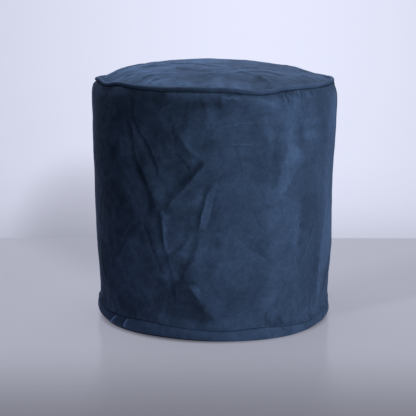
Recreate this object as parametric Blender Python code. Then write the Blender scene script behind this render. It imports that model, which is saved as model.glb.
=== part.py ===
"""Bean bag footstool: a round drum of soft velvet, filled with beads.

The maker cuts a wall, a round top, a strip of piping for the seam between them, a foot band
that is sewn round the wall's lower edge, and a round base. Each is one solid here. The wall
and the top are filled, so their solids hold the beads that round them out.

Units are metres and +Z is up. The origin is on the floor, under the middle of the drum.
Azimuths are in degrees round the drum: 0 is the front (-Y), and 90 is the right side (+X).
"""

import bisect
import math
from collections import namedtuple

import bmesh
import bpy

# Driving dimensions
SEAM_HEIGHT = 0.4125  # the middle of the piping, above the floor
SHOULDER_RADIUS = 0.2100  # the wall at its widest, 30 mm under the piping
FOOT_RADIUS = 0.1993  # the wall just above the foot band
BAND_HEIGHT = 0.0250  # the seam over the foot band, above the floor
BAND_BULGE = 0.0021  # how far the band stands out past the wall above it
PIPING_RADIUS = 0.00375
PIPING_SEAT = 0.2008  # the radius of the ring that the piping's middle runs on
CROWN_RISE = 0.0262  # how far the filling lifts the top's middle over its seam
CROWN_POWER = 3.3  # 2 is a dome, more is a flatter cushion with a steeper edge
CROWN_LEAN = 0.0034  # the filling has shifted, so the left is higher and the right lower
BASE_THICKNESS = 0.0030
BASE_RADIUS = 0.1912
BASE_UNDERCUT = 0.0022  # the base is drawn in towards the floor
GAP = 0.0003  # between pieces that touch
IN_BAND_RADIUS = 0.1945  # the filled wall where it stands inside the band

# The cloth is divided more finely in front, where most of its folds are
FRONT_STEP = 2.25
BACK_STEP = 6.0
WALL_STEP = 0.0132

# How the drum differs from a true one, all the way round. The flat on its left front and the
# corner on its right front run from top to foot. "seam" lifts the top seam, "wall" moves the
# wall out at its foot, less so towards its top, and "band" moves the foot band out. "height"
# is what the foot band's height is over its average, and "lift" is how far the band's lower
# edge hangs clear of the floor.
Around = namedtuple("Around", "azimuth seam wall band height lift")
UNEVEN = (
    Around(-180, -0.0015, 0.0000, 0.0000, 0.0010, 0.0000),
    Around(-150, -0.0030, 0.0010, 0.0020, -0.0015, 0.0000),
    Around(-120, -0.0040, -0.0010, 0.0010, 0.0020, 0.0008),
    Around(-90, -0.0010, -0.0018, 0.0022, 0.0070, 0.0000),
    Around(-75, 0.0034, -0.0012, 0.0026, 0.0060, 0.0000),
    Around(-63, -0.0002, -0.0004, 0.0026, 0.0025, 0.0000),
    Around(-51, 0.0048, 0.0000, 0.0010, 0.0020, 0.0008),
    Around(-38, 0.0032, -0.0015, -0.0018, 0.0035, 0.0014),
    Around(-25, 0.0026, -0.0034, -0.0044, 0.0000, 0.0018),
    Around(-10, 0.0022, -0.0022, -0.0020, -0.0030, 0.0012),
    Around(4, -0.0002, -0.0004, 0.0008, -0.0048, 0.0006),
    Around(21, -0.0057, 0.0026, 0.0048, -0.0010, 0.0000),
    Around(35, 0.0000, 0.0048, 0.0084, -0.0030, 0.0000),
    Around(48, 0.0003, 0.0028, 0.0070, -0.0055, 0.0000),
    Around(62, -0.0002, 0.0008, 0.0046, -0.0030, 0.0000),
    Around(76, 0.0000, 0.0000, 0.0020, 0.0020, 0.0000),
    Around(90, -0.0016, 0.0000, 0.0000, 0.0035, 0.0000),
    Around(120, -0.0026, 0.0012, 0.0014, 0.0000, 0.0006),
    Around(150, -0.0020, -0.0015, 0.0000, 0.0015, 0.0000),
    Around(180, -0.0015, 0.0000, 0.0000, 0.0010, 0.0000),
)

# The drum leans: how far each height is to the right of the origin
Lean = namedtuple("Lean", "height right")
LEAN = (
    Lean(0.00, -0.0003),
    Lean(0.10, -0.0013),
    Lean(0.20, -0.0019),
    Lean(0.30, -0.0009),
    Lean(0.376, 0.0011),
    Lean(0.41, 0.0003),
    Lean(0.45, 0.0003),
)

# The filled wall's section: inside the band, out over the band's seam, up the side, and in
# over the shoulder to the piping
Section = namedtuple("Section", "height radius")
WALL_INSIDE = (
    Section(BASE_THICKNESS + GAP, BASE_RADIUS),
    Section(0.0085, IN_BAND_RADIUS),
    Section(0.0225, IN_BAND_RADIUS),
)
OVER_BAND = (
    Section(0.0254, IN_BAND_RADIUS),
    Section(0.0270, 0.1976),
    Section(0.0300, 0.1989),
)
SHOULDER = (
    Section(0.3850, 0.2099),
    Section(0.3930, 0.2092),
    Section(0.3995, 0.2072),
    Section(0.4045, 0.2045),
    Section(0.4075, 0.2026),
)
WALL_SECTION = (
    Section(0.0350, FOOT_RADIUS),
    Section(0.0500, 0.2004),
    Section(0.0900, 0.2026),
    Section(0.1300, 0.2047),
    Section(0.2000, 0.2051),
    Section(0.2500, 0.2061),
    Section(0.3000, 0.2082),
    Section(0.3300, 0.2092),
    Section(0.3500, 0.2091),
    Section(0.3760, SHOULDER_RADIUS),
    Section(0.3850, 0.2099),
)

# The foot band's section, from its lower inside corner round its outside to its inside.
# "share" is how far up the band it is, and "loose" is how freely the cloth lifts and tucks.
BandSection = namedtuple("BandSection", "radius share loose")
BAND_SECTION = (
    BandSection(BASE_RADIUS + 2 * GAP, 0.00, 0.0),
    BandSection(0.1948, 0.00, 0.5),
    BandSection(0.1985, 0.04, 1.0),
    BandSection(0.2008, 0.16, 1.0),
    BandSection(FOOT_RADIUS + BAND_BULGE, 0.45, 1.0),
    BandSection(0.2002, 0.84, 1.0),
    BandSection(0.1988, 0.95, 0.3),
    BandSection(0.1966, 0.98, 0.0),
    BandSection(IN_BAND_RADIUS + GAP, 0.92, 0.0),
    BandSection(IN_BAND_RADIUS + GAP, 0.24, 0.0),
)

# The folds run out at both of the wall's seams
FOLDS_FROM = 0.030
FOLDS_TO = 0.4045

# The wall's folds. Each runs from one place on the wall to another, bowed sideways by "bow"
# degrees in the middle. A ridge has a rise over 0 and a trough has one under 0. The ones at
# the front are where the cloth was creased by its own weight; the ones at the back are alike.
Fold = namedtuple("Fold", "azimuth_1 height_1 azimuth_2 height_2 bow half_width rise")
WALL_FOLDS = (
    Fold(-39, 0.398, -25, 0.262, -1.5, 0.016, -0.0052),  # long slanting crease
    Fold(-33, 0.376, -20, 0.268, 1.0, 0.019, 0.0030),  # its raised side
    Fold(-43, 0.362, -27, 0.206, 0.5, 0.016, -0.0054),  # the crease beside it
    Fold(-50, 0.340, -34, 0.200, 0.5, 0.020, 0.0028),
    Fold(-24, 0.332, -8, 0.280, 0.5, 0.015, -0.0044),  # over the pointed fold
    Fold(-18, 0.342, -2, 0.302, 0.5, 0.016, 0.0036),  # pointed fold, upper arm
    Fold(-3, 0.308, -26, 0.208, -1.0, 0.015, 0.0052),  # pointed fold, lower arm
    Fold(-6, 0.302, -28, 0.232, -1.0, 0.016, -0.0050),
    Fold(-27, 0.226, -16, 0.060, -1.0, 0.017, 0.0046),  # upright edge under it
    Fold(-31, 0.210, -21, 0.080, -1.0, 0.018, -0.0044),
    Fold(-5, 0.192, -21, 0.134, 0.0, 0.014, 0.0038),
    Fold(-8, 0.202, -22, 0.150, 0.0, 0.014, -0.0036),
    Fold(-2, 0.190, -17, 0.076, 0.0, 0.015, 0.0042),
    Fold(-7, 0.180, -19, 0.088, 0.0, 0.015, -0.0038),
    Fold(0, 0.290, -7, 0.178, 0.0, 0.014, 0.0042),  # upright roll in the middle
    Fold(6, 0.296, -2, 0.170, 0.0, 0.015, -0.0036),
    Fold(-4, 0.270, -11, 0.196, 0.0, 0.014, -0.0032),
    Fold(-44, 0.184, -57, 0.090, 2.0, 0.018, -0.0042),
    Fold(-43, 0.256, -55, 0.178, 0.0, 0.016, -0.0034),
    Fold(-60, 0.340, -68, 0.190, 2.0, 0.020, -0.0030),
    Fold(8, 0.346, 16, 0.262, 0.5, 0.014, -0.0032),
    Fold(44, 0.300, 36, 0.230, 0.0, 0.016, 0.0030),
    Fold(12, 0.172, 27, 0.128, 0.0, 0.018, -0.0026),
    Fold(72, 0.215, 59, 0.034, -3.5, 0.015, 0.0030),  # long uprights by the right edge
    Fold(66, 0.200, 54, 0.046, -3.0, 0.016, -0.0030),
    Fold(81, 0.160, 67, 0.034, 3.5, 0.015, 0.0020),
    Fold(4, 0.398, 25, 0.392, -1.0, 0.014, 0.0030),  # slack lip under the piping
    Fold(102, 0.385, 112, 0.235, 2.0, 0.026, -0.0060),
    Fold(116, 0.350, 126, 0.190, -2.0, 0.028, 0.0048),
    Fold(138, 0.290, 118, 0.150, 1.0, 0.028, -0.0052),
    Fold(144, 0.240, 152, 0.045, 1.0, 0.030, 0.0050),
    Fold(162, 0.395, 148, 0.275, -1.0, 0.028, -0.0056),
    Fold(176, 0.300, 160, 0.140, 1.0, 0.030, 0.0054),
    Fold(182, 0.385, 192, 0.230, -1.0, 0.030, -0.0062),
    Fold(206, 0.330, 184, 0.175, 0.0, 0.028, 0.0056),
    Fold(206, 0.200, 196, 0.045, 1.0, 0.030, -0.0052),
    Fold(214, 0.395, 228, 0.260, 1.0, 0.030, -0.0060),
    Fold(238, 0.270, 220, 0.110, -1.0, 0.030, 0.0056),
    Fold(246, 0.370, 256, 0.180, 1.0, 0.028, -0.0052),
    Fold(262, 0.180, 250, 0.045, 0.0, 0.026, 0.0044),
)

# Slow swells of the filling behind the wall: how many to a turn and to the height, the
# phase of each in degrees, and their size
Swell = namedtuple("Swell", "turns uprights phase size")
SWELLS = (
    Swell(3, 1, 40, 0.0008),
    Swell(5, 2, 200, 0.0007),
    Swell(8, -2, 90, 0.0005),
)

# How far out from the top's middle its rings lie, as shares of the way to its edge
TOP_SHARES = (1.0, 0.96, 0.91, 0.85, 0.78, 0.71, 0.63, 0.55, 0.46, 0.36, 0.25, 0.13)

# The top's folds, in metres from its middle: +x is right and +y is back
Crease = namedtuple("Crease", "x_1 y_1 x_2 y_2 half_width rise")
TOP_CREASES = (
    Crease(-0.125, -0.104, 0.000, -0.132, 0.020, 0.0034),  # long roll, left front
    Crease(-0.005, -0.134, 0.050, -0.098, 0.018, 0.0036),
    Crease(0.040, -0.098, 0.098, -0.162, 0.018, 0.0032),
    Crease(0.036, -0.100, 0.125, -0.096, 0.016, 0.0026),
    Crease(-0.062, -0.078, 0.000, -0.108, 0.018, -0.0030),
    Crease(0.020, -0.070, 0.120, -0.060, 0.018, -0.0022),
    Crease(-0.150, -0.030, 0.030, -0.050, 0.022, 0.0024),
    Crease(-0.090, 0.010, 0.020, -0.005, 0.022, -0.0024),
    Crease(-0.188, -0.062, -0.142, -0.018, 0.018, 0.0022),  # fan at the left edge
    Crease(-0.170, -0.098, -0.132, -0.072, 0.016, 0.0026),
    Crease(-0.130, -0.142, -0.098, -0.112, 0.016, 0.0026),
    Crease(-0.172, -0.082, -0.128, -0.050, 0.014, -0.0022),
    Crease(-0.060, 0.050, 0.090, 0.030, 0.022, 0.0018),
    Crease(0.070, 0.000, 0.150, 0.050, 0.022, -0.0022),
    Crease(0.120, 0.040, 0.170, 0.090, 0.022, 0.0020),
    Crease(-0.100, 0.100, 0.000, 0.130, 0.024, -0.0012),
    Crease(0.010, 0.136, 0.120, 0.112, 0.034, -0.0034),
)

# Tucks across the foot band
Tuck = namedtuple("Tuck", "azimuth half_turn rise")
BAND_TUCKS = (
    Tuck(-57, 3.0, 0.0016),
    Tuck(-47, 3.0, 0.0018),
    Tuck(66, 3.5, 0.0012),
    Tuck(150, 6.0, 0.0016),
    Tuck(215, 6.0, 0.0014),
)


def smoothstep(value):
    """0 under 0, 1 over 1, and a smooth rise between."""
    value = min(1.0, max(0.0, value))
    return value * value * (3 - 2 * value)


def between(places, values, place):
    """A smooth curve through values at places, which are in rising order, read at place."""
    place = min(places[-1], max(places[0], place))
    last = min(len(places) - 2, max(0, bisect.bisect_right(places, place) - 1))
    span = places[last + 1] - places[last]

    def slope(index):
        low, high = max(0, index - 1), min(len(places) - 1, index + 1)
        return (values[high] - values[low]) / (places[high] - places[low]) * span

    t = (place - places[last]) / span
    start, rise = values[last], values[last + 1] - values[last]
    first, second = slope(last), slope(last + 1)
    bend = 3 * rise - 2 * first - second
    twist = first + second - 2 * rise
    return start + t * (first + t * (bend + t * twist))


def uneven(column, azimuth):
    """What a column of UNEVEN says at an azimuth."""
    azimuths = [row.azimuth for row in UNEVEN]
    values = [getattr(row, column) for row in UNEVEN]
    return between(azimuths, values, (azimuth + 180) % 360 - 180)


def hump(distance, half_width):
    """A fold's section: 1 on its line, and 0 from half_width outwards."""
    share = min(1.0, abs(distance) / half_width)
    return (1 - share * share) ** 2


def over_line(x, y, x_1, y_1, x_2, y_2, bow=0.0):
    """(share of the way along the line, distance from it) of a place on the flat cloth."""
    along_x, along_y = x_2 - x_1, y_2 - y_1
    length = math.hypot(along_x, along_y)
    share = ((x - x_1) * along_x + (y - y_1) * along_y) / length**2
    share = min(1.0, max(0.0, share))
    sideways = bow * 4 * share * (1 - share)
    return share, math.hypot(x - x_1 - share * along_x - sideways, y - y_1 - share * along_y)


def fading(share):
    """A fold is full along its middle and runs out at both ends."""
    return smoothstep(share / 0.25) * smoothstep((1 - share) / 0.25)


def wall_relief(azimuth, height):
    """How far the folds and swells push the wall out at this place."""
    relief = 0.0
    degree = math.radians(1) * SHOULDER_RADIUS
    for fold in WALL_FOLDS:
        middle = (fold.azimuth_1 + fold.azimuth_2) / 2
        turn = (azimuth - middle + 180) % 360 - 180 + middle
        first = (fold.azimuth_1 * degree, fold.height_1)
        second = (fold.azimuth_2 * degree, fold.height_2)
        share, distance = over_line(turn * degree, height, *first, *second, fold.bow * degree)
        relief += fold.rise * hump(distance, fold.half_width) * fading(share)
    for swell in SWELLS:
        turn = swell.turns * azimuth + swell.phase + 360 * swell.uprights * height / SEAM_HEIGHT
        relief += swell.size * math.sin(math.radians(turn))
    clear_of_band = smoothstep((height - FOLDS_FROM) / 0.030)
    clear_of_piping = smoothstep((FOLDS_TO - height) / 0.020)
    return relief * clear_of_band * clear_of_piping


def top_relief(x, y):
    """How far the top's folds lift it at this place."""
    return sum(
        crease.rise * hump(distance, crease.half_width) * fading(share)
        for crease in TOP_CREASES
        for share, distance in [over_line(x, y, *crease[:4])]
    )


def wall_height(azimuth, height):
    """A height on an even drum, moved with the uneven seam and foot band at this azimuth."""
    with_seam = uneven("seam", azimuth) * smoothstep((height - 0.300) / 0.085)
    lowest, in_band = WALL_INSIDE[0].height, WALL_INSIDE[-1].height
    near_band = min(1.0, (height - lowest) / (in_band - lowest))
    near_band *= 1 - smoothstep((height - 0.035) / 0.060)
    return height + with_seam + uneven("height", azimuth) * near_band


def out_of_round(azimuth, height):
    """How far the drum's outline stands out past a circle. It fades from the foot upwards."""
    over_band = smoothstep((height - BAND_HEIGHT) / 0.006)
    foot = uneven("wall", azimuth) * over_band + uneven("band", azimuth) * (1 - over_band)
    return foot * (1 - 0.75 * height / SEAM_HEIGHT)


def seam_height(azimuth):
    return SEAM_HEIGHT + uneven("seam", azimuth)


def at(azimuth, radius, height):
    """A point in space, from its place round the drum."""
    turn = math.radians(azimuth)
    lean = between([row.height for row in LEAN], [row.right for row in LEAN], height)
    return (radius * math.sin(turn) + lean, -radius * math.cos(turn), height)


def steps(first, last, size):
    """Even steps of about this size, from first up to but not with last."""
    count = max(1, round((last - first) / size))
    return [first + (last - first) * n / count for n in range(count)]


AZIMUTHS = steps(-90.0, 90.0, FRONT_STEP) + steps(90.0, 270.0, BACK_STEP)


def cloth(name, colour, roughness):
    """A plain cloth material in this colour."""
    material = bpy.data.materials.new(name)
    material.use_nodes = True
    shader = material.node_tree.nodes["Principled BSDF"]
    shader.inputs["Base Color"].default_value = (*colour, 1.0)
    shader.inputs["Roughness"].default_value = roughness
    shader.inputs["Metallic"].default_value = 0.0
    return material


def loft(name, rings, material, round_trip=False):
    """An object whose skin runs through rings of points, from the first ring to the last.

    A ring of one point closes an end. With round_trip the last ring joins the first, as in a
    hollow band.
    """
    mesh = bmesh.new()
    made = [[mesh.verts.new(point) for point in ring] for ring in rings]
    pairs = list(zip(made, made[1:])) + ([(made[-1], made[0])] if round_trip else [])
    for low, high in pairs:
        for this in range(len(AZIMUTHS)):
            following = (this + 1) % len(AZIMUTHS)
            corners = [low[this % len(low)], low[following % len(low)]]
            corners += [high[following % len(high)], high[this % len(high)]]
            mesh.faces.new(list(dict.fromkeys(corners)))
    bmesh.ops.triangulate(mesh, faces=[f for f in mesh.faces if len(f.verts) > 3])
    bmesh.ops.recalc_face_normals(mesh, faces=mesh.faces)
    data = bpy.data.meshes.new(name)
    mesh.to_mesh(data)
    mesh.free()
    data.materials.append(material)
    data.shade_smooth()
    data.set_sharp_from_angle(angle=math.radians(50))
    piece = bpy.data.objects.new(name, data)
    bpy.context.scene.collection.objects.link(piece)
    return piece


def wall_ring(height, radius, folded=True):
    """One ring of the wall, for a height and a radius on an even drum."""
    ring = []
    for azimuth in AZIMUTHS:
        out = radius + out_of_round(azimuth, height)
        if folded:
            out += wall_relief(azimuth, height)
        ring.append(at(azimuth, out, wall_height(azimuth, height)))
    return ring


def build_wall():
    """The filled wall: its foot inside the band, its sides, its shoulder and its flat top."""
    under_piping = SEAM_HEIGHT - PIPING_RADIUS - GAP
    heights = [row.height for row in WALL_SECTION]
    radii = [row.radius for row in WALL_SECTION]
    rows = steps(heights[0], heights[-1], WALL_STEP)
    sides = [Section(height, between(heights, radii, height)) for height in rows]
    rings = [[at(0, 0, WALL_INSIDE[0].height)]]
    rings += [wall_ring(height, radius, folded=False) for height, radius in WALL_INSIDE]
    rings += [wall_ring(height, radius) for height, radius in [*OVER_BAND, *sides, *SHOULDER]]
    rings += [wall_ring(under_piping, PIPING_SEAT, folded=False)]
    rings += [[at(a, top_radius(a), seam_height(a) - PIPING_RADIUS - GAP) for a in AZIMUTHS]]
    rings += [[at(0, 0, under_piping)]]
    return loft("wall_panel", rings, cloth("wall velvet", (0.030, 0.050, 0.098), 0.85))


def top_radius(azimuth):
    """The top's edge, which the piping's inner side touches."""
    return PIPING_SEAT - PIPING_RADIUS - GAP + out_of_round(azimuth, SEAM_HEIGHT)


def crown(azimuth, share):
    """The height of the top's skin at a share of the way out from its middle to its edge."""
    radius = share * top_radius(azimuth)
    x, y, _ = at(azimuth, radius, 0)
    edge = smoothstep((1 - share) / 0.10)
    rise = CROWN_RISE * (1 - share**CROWN_POWER) - CROWN_LEAN * x / PIPING_SEAT * (1 - share**4)
    wave = uneven("seam", azimuth) * share**2
    return SEAM_HEIGHT + wave + rise + top_relief(x, y) * edge


def build_top():
    """The crowned top: a flat underside on the wall, an edge behind the piping, and its skin."""
    underside = SEAM_HEIGHT - PIPING_RADIUS
    rings = [[at(0, 0, underside)]]
    rings += [[at(a, top_radius(a), underside + uneven("seam", a)) for a in AZIMUTHS]]
    rings += [[at(a, share * top_radius(a), crown(a, share)) for a in AZIMUTHS] for share in TOP_SHARES]
    rings += [[at(0, 0, crown(0, 0.0))]]
    return loft("top_panel", rings, cloth("top velvet", (0.055, 0.095, 0.170), 0.85))


def build_piping():
    """The piping: a covered cord that follows the uneven top seam."""
    curve = bpy.data.curves.new("piping", "CURVE")
    curve.dimensions = "3D"
    curve.bevel_depth = PIPING_RADIUS
    curve.bevel_resolution = 2
    curve.twist_mode = "Z_UP"
    spline = curve.splines.new("POLY")
    spline.points.add(len(AZIMUTHS) - 1)
    for point, azimuth in zip(spline.points, AZIMUTHS):
        seat = PIPING_SEAT + out_of_round(azimuth, SEAM_HEIGHT)
        point.co = (*at(azimuth, seat, seam_height(azimuth)), 1.0)
    spline.use_cyclic_u = True
    curve.materials.append(cloth("piping velvet", (0.025, 0.042, 0.082), 0.85))
    piece = bpy.data.objects.new("piping", curve)
    bpy.context.scene.collection.objects.link(piece)
    return piece


def band_tuck(azimuth):
    """How far the tucks push the foot band out at this azimuth."""
    turns = [((azimuth - tuck.azimuth + 180) % 360 - 180, tuck) for tuck in BAND_TUCKS]
    return sum(tuck.rise * hump(turn, tuck.half_turn) for turn, tuck in turns)


def build_band():
    """The foot band: a doubled strip that flares out under the wall's lower seam."""
    rings = []
    for radius, share, loose in BAND_SECTION:
        ring = []
        for azimuth in AZIMUTHS:
            upper = BAND_HEIGHT + uneven("height", azimuth)
            lower = BASE_THICKNESS + GAP + loose * uneven("lift", azimuth)
            out = radius + out_of_round(azimuth, 0) + loose * band_tuck(azimuth)
            ring.append(at(azimuth, out, lower + (upper - lower) * share))
        rings.append(ring)
    velvet = cloth("band velvet", (0.027, 0.045, 0.088), 0.85)
    return loft("foot_band", rings, velvet, round_trip=True)


def build_base():
    """The base: a round of dark cloth, filled out a little, that the drum stands on."""
    rings = [[at(0, 0, 0)]]
    for height, radius in ((0, BASE_RADIUS - BASE_UNDERCUT), (BASE_THICKNESS, BASE_RADIUS)):
        rings.append([at(a, radius + out_of_round(a, 0), height) for a in AZIMUTHS])
    rings.append([at(0, 0, BASE_THICKNESS)])
    return loft("base_panel", rings, cloth("base cloth", (0.012, 0.013, 0.016), 0.9))


def main():
    for old in list(bpy.data.objects):
        bpy.data.objects.remove(old)
    build_base()
    build_wall()
    build_band()
    build_top()
    build_piping()


main()
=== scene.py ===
# %% [markdown]
# # A bean bag footstool in crushed velvet
# The part's solids are the measured body of a round footstool: a filled wall, a crowned top, a
# corded piping between them, a foot band and a base. This script dresses them. Each soft piece
# is made again as a fine skin on the same measurements, with its creases, gathers and brushed
# pile, and then it gets a velvet finish. Lengths are metres, except where a name or a comment
# says mm or millimetres.

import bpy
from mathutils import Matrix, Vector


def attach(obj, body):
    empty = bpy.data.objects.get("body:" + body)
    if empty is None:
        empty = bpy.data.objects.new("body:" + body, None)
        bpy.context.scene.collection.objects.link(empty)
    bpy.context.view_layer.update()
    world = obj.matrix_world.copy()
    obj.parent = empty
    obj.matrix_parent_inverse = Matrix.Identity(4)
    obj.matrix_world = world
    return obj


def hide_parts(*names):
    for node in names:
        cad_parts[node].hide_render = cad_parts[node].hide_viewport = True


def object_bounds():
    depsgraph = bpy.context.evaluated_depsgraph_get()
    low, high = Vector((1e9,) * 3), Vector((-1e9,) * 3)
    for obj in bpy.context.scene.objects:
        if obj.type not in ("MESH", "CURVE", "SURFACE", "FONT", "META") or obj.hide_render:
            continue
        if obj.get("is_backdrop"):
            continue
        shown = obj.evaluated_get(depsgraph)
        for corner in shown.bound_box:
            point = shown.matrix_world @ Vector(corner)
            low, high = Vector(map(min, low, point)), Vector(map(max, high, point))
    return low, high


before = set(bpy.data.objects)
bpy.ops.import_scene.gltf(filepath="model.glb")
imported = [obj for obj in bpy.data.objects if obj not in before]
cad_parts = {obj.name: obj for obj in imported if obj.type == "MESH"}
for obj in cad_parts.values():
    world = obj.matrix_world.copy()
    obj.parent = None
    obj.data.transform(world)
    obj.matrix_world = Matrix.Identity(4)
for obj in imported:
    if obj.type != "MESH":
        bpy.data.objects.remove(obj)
cad_box = [list(corner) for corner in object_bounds()]
print("nodes:", sorted(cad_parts))
print("the part's box:", cad_box)

# %% The rest of what the lesson uses
import math
from collections import namedtuple

import bpy
import numpy as np
from mathutils import noise

# %% [markdown]
# ## The camera
# A long lens from two and a half metres away keeps the drum's sides nearly upright, as a
# photographer of furniture would. It stands a little higher than the stool and looks down at
# it, so that the top shows as a narrow ellipse.

# %% Place the camera
CAMERA_PLACE = (-0.0009, -2.549, 0.6933)
CAMERA_TILT = 11.263  # degrees below level
CAMERA_TURN = 0.2246  # degrees to its left
LENS_MM = 129.2

camera = bpy.data.objects.new("camera", bpy.data.cameras.new("camera"))
camera.data.lens = LENS_MM
camera.data.sensor_width = 36.0
camera.location = CAMERA_PLACE
camera.rotation_euler = (math.radians(90 - CAMERA_TILT), 0.0, math.radians(CAMERA_TURN))
bpy.context.scene.collection.objects.link(camera)
bpy.context.scene.camera = camera
print("camera at", CAMERA_PLACE, "with a lens of", LENS_MM, "mm")

# %% [markdown]
# ## The drum's measurements
# These are the part's own sizes. A place on the drum is an azimuth, in degrees round it with 0
# at the front and 90 at the right, and a height. A filled cloth is never a true cylinder: it
# stands out here and there, leans a little, and its seams rise and dip. A short table holds
# each of these, measured at a few places, and is read as a smooth curve through its rows.

# %% Sizes of the drum
SEAM_HEIGHT = 0.4125
SHOULDER_RADIUS = 0.2100
FOOT_RADIUS = 0.1993
BAND_HEIGHT = 0.0250
BAND_BULGE = 0.0021
IN_BAND_RADIUS, IN_BAND_TOP = 0.1945, 0.0225  # the part of the wall that the band covers
PIPING_RADIUS = 0.00375
PIPING_SEAT = 0.2008  # the radius of the ring along the middle of the cord
CROWN_RISE = 0.0262
CROWN_LEAN = 0.0034  # about how much the crown's left is higher than its right
BASE_THICKNESS = 0.0030
BASE_RADIUS = 0.1912
GAP = 0.0003  # between the part's pieces
WALL_BOTTOM = BASE_THICKNESS + GAP
WALL_TOP = SEAM_HEIGHT - PIPING_RADIUS - GAP
print("the wall goes from %.1f to %.1f mm" % (WALL_BOTTOM * 1000, WALL_TOP * 1000))

# %% Its tables


def rows(columns, *values):
    """A table. Each of its rows gives its values by the columns' names."""
    Row = namedtuple("Row", columns)
    return [Row(*row) for row in values]


UNEVEN = rows(
    # in mm: how far the top seam is raised, how far out the wall's foot and the band stand, how
    # much higher the band's seam is, and how far the band's lower edge is lifted
    "azimuth seam wall band height lift",
    (-180, -1.5, 0, 0, 1, 0),
    (-150, -3, 1, 2, -1.5, 0),
    (-120, -7, -1, 1, 2, 0.8),
    (-90, -1, -1.8, 2.2, 7, 0),
    (-75, 3.4, -1.2, 2.6, 6, 0),
    (-63, -0.2, -0.4, 2.6, 2.5, 0),
    (-51, 4.8, 0, 1, 2, 0.8),
    (-38, 3.2, -1.5, -1.8, 3.5, 1.4),
    (-25, 2.6, -3.4, -4.4, 0, 1.8),
    (-10, 3.8, -2.2, -2, -3, 1.2),
    (4, 3, -0.4, 0.8, -4.8, 0.6),
    (21, -2.4, 2.6, 4.8, -1, 0),
    (35, 2.2, 4.8, 8.4, -3, 0),
    (48, 1, 2.8, 7, -5.5, 0),
    (62, -0.2, 0.8, 4.6, -3, 0),
    (76, 0, 0, 2, 2, 0),
    (90, -1.6, 0, 0, 3.5, 0),
    (120, -5.6, 1.2, 1.4, 0, 0.6),
    (150, -2, -1.5, 0, 1.5, 0),
    (180, -1.5, 0, 0, 1, 0),
)
LEAN = rows(
    "height right",  # right in mm
    (0, -0.3),
    (0.1, -1.3),
    (0.2, -1.9),
    (0.3, -0.9),
    (0.376, 1.1),
    (0.41, 0.3),
    (0.45, 0.3),
)
WALL_SECTION = rows(
    "height radius",  # inside the band, out over its seam, up the side, and in
    (WALL_BOTTOM, BASE_RADIUS),
    (0.0085, IN_BAND_RADIUS),
    (IN_BAND_TOP, IN_BAND_RADIUS),
    (0.0243, 0.1964),
    (0.0247, 0.1983),
    (0.0256, 0.1998),
    (0.0275, 0.2006),
    (0.031, 0.2003),
    (0.035, 0.1998),
    (0.05, 0.2004),
    (0.09, 0.2026),
    (0.13, 0.2047),
    (0.2, 0.2051),
    (0.25, 0.2061),
    (0.3, 0.2082),
    (0.33, 0.2092),
    (0.35, 0.2091),
    (0.376, SHOULDER_RADIUS),
    (0.385, 0.2099),
    (0.393, 0.2092),
    (0.3995, 0.2078),
    (0.4045, 0.2062),
    (0.4068, 0.2049),
    (0.4082, 0.2034),
    (WALL_TOP, PIPING_SEAT),
)
print(len(UNEVEN), "places round the drum and", len(WALL_SECTION), "up its side")

# %% Read a table as a smooth curve


def smoothstep(value):
    """0 under 0, 1 over 1, and a smooth rise between."""
    value = np.clip(value, 0.0, 1.0)
    return value * value * (3 - 2 * value)


def through(places, values, where):
    """A smooth curve through values at places, which rise, read at an array of places."""
    places, values = np.asarray(places, float), np.asarray(values, float)
    where = np.clip(where, places[0], places[-1])
    last = np.clip(np.searchsorted(places, where, side="right") - 1, 0, len(places) - 2)
    index = np.arange(len(places))
    low, high = np.maximum(index - 1, 0), np.minimum(index + 1, len(places) - 1)
    slope = (values[high] - values[low]) / (places[high] - places[low])
    span = places[last + 1] - places[last]
    t = (where - places[last]) / span
    rise = values[last + 1] - values[last]
    first, second = slope[last] * span, slope[last + 1] * span
    bend = 3 * rise - 2 * first - second
    return values[last] + t * (first + t * (bend + t * (first + second - 2 * rise)))


def column(table, along, name, where):
    """What one column of a table says, read along another."""
    return through([getattr(r, along) for r in table], [getattr(r, name) for r in table], where)


def round_drum(table, name, azimuth):
    """What one column says at azimuths, with whole turns taken off."""
    start = table[0].azimuth
    return column(table, "azimuth", name, (azimuth - start) % 360 + start)


print("at the front the top seam is raised by %.1f mm" % round_drum(UNEVEN, "seam", 0.0))

# %% Turn a place on the drum into a point
BAND_BLEND = 0.006  # the height over which the band's outline turns into the wall's
SMOOTHED_OUT = 0.75  # how much of the uneven outline is gone at the top seam


def uneven(name, azimuth):
    return round_drum(UNEVEN, name, azimuth) / 1000


def out_of_round(azimuth, height):
    """How far the drum's outline stands out past a circle. It fades from the foot upwards."""
    over_band = smoothstep((height - BAND_HEIGHT) / BAND_BLEND)
    foot = uneven("wall", azimuth) * over_band + uneven("band", azimuth) * (1 - over_band)
    return foot * (1 - SMOOTHED_OUT * height / SEAM_HEIGHT)


def seam_height(azimuth):
    return SEAM_HEIGHT + uneven("seam", azimuth)


def at(azimuth, radius, height):
    """Points in space, from places round the drum."""
    azimuth, radius, height = np.broadcast_arrays(azimuth, radius, height)
    turn = np.radians(azimuth)
    lean = column(LEAN, "height", "right", height) / 1000
    return np.stack([radius * np.sin(turn) + lean, -radius * np.cos(turn), height], axis=-1)


print("widest point at the front:", at(0, SHOULDER_RADIUS, 0.376))

# %% [markdown]
# ## Noise
# Nothing in cloth is quite even, so almost every size here is given a little noise. Blender's
# own smooth noise is read at points in space, where the ends of a ring meet without a step.

# %% Smooth noise at points
SEED_STEP = 7.31  # how far apart in the noise two seeds are
TO_ONE = 1.6  # brings the noise up to about -1 to 1


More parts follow.
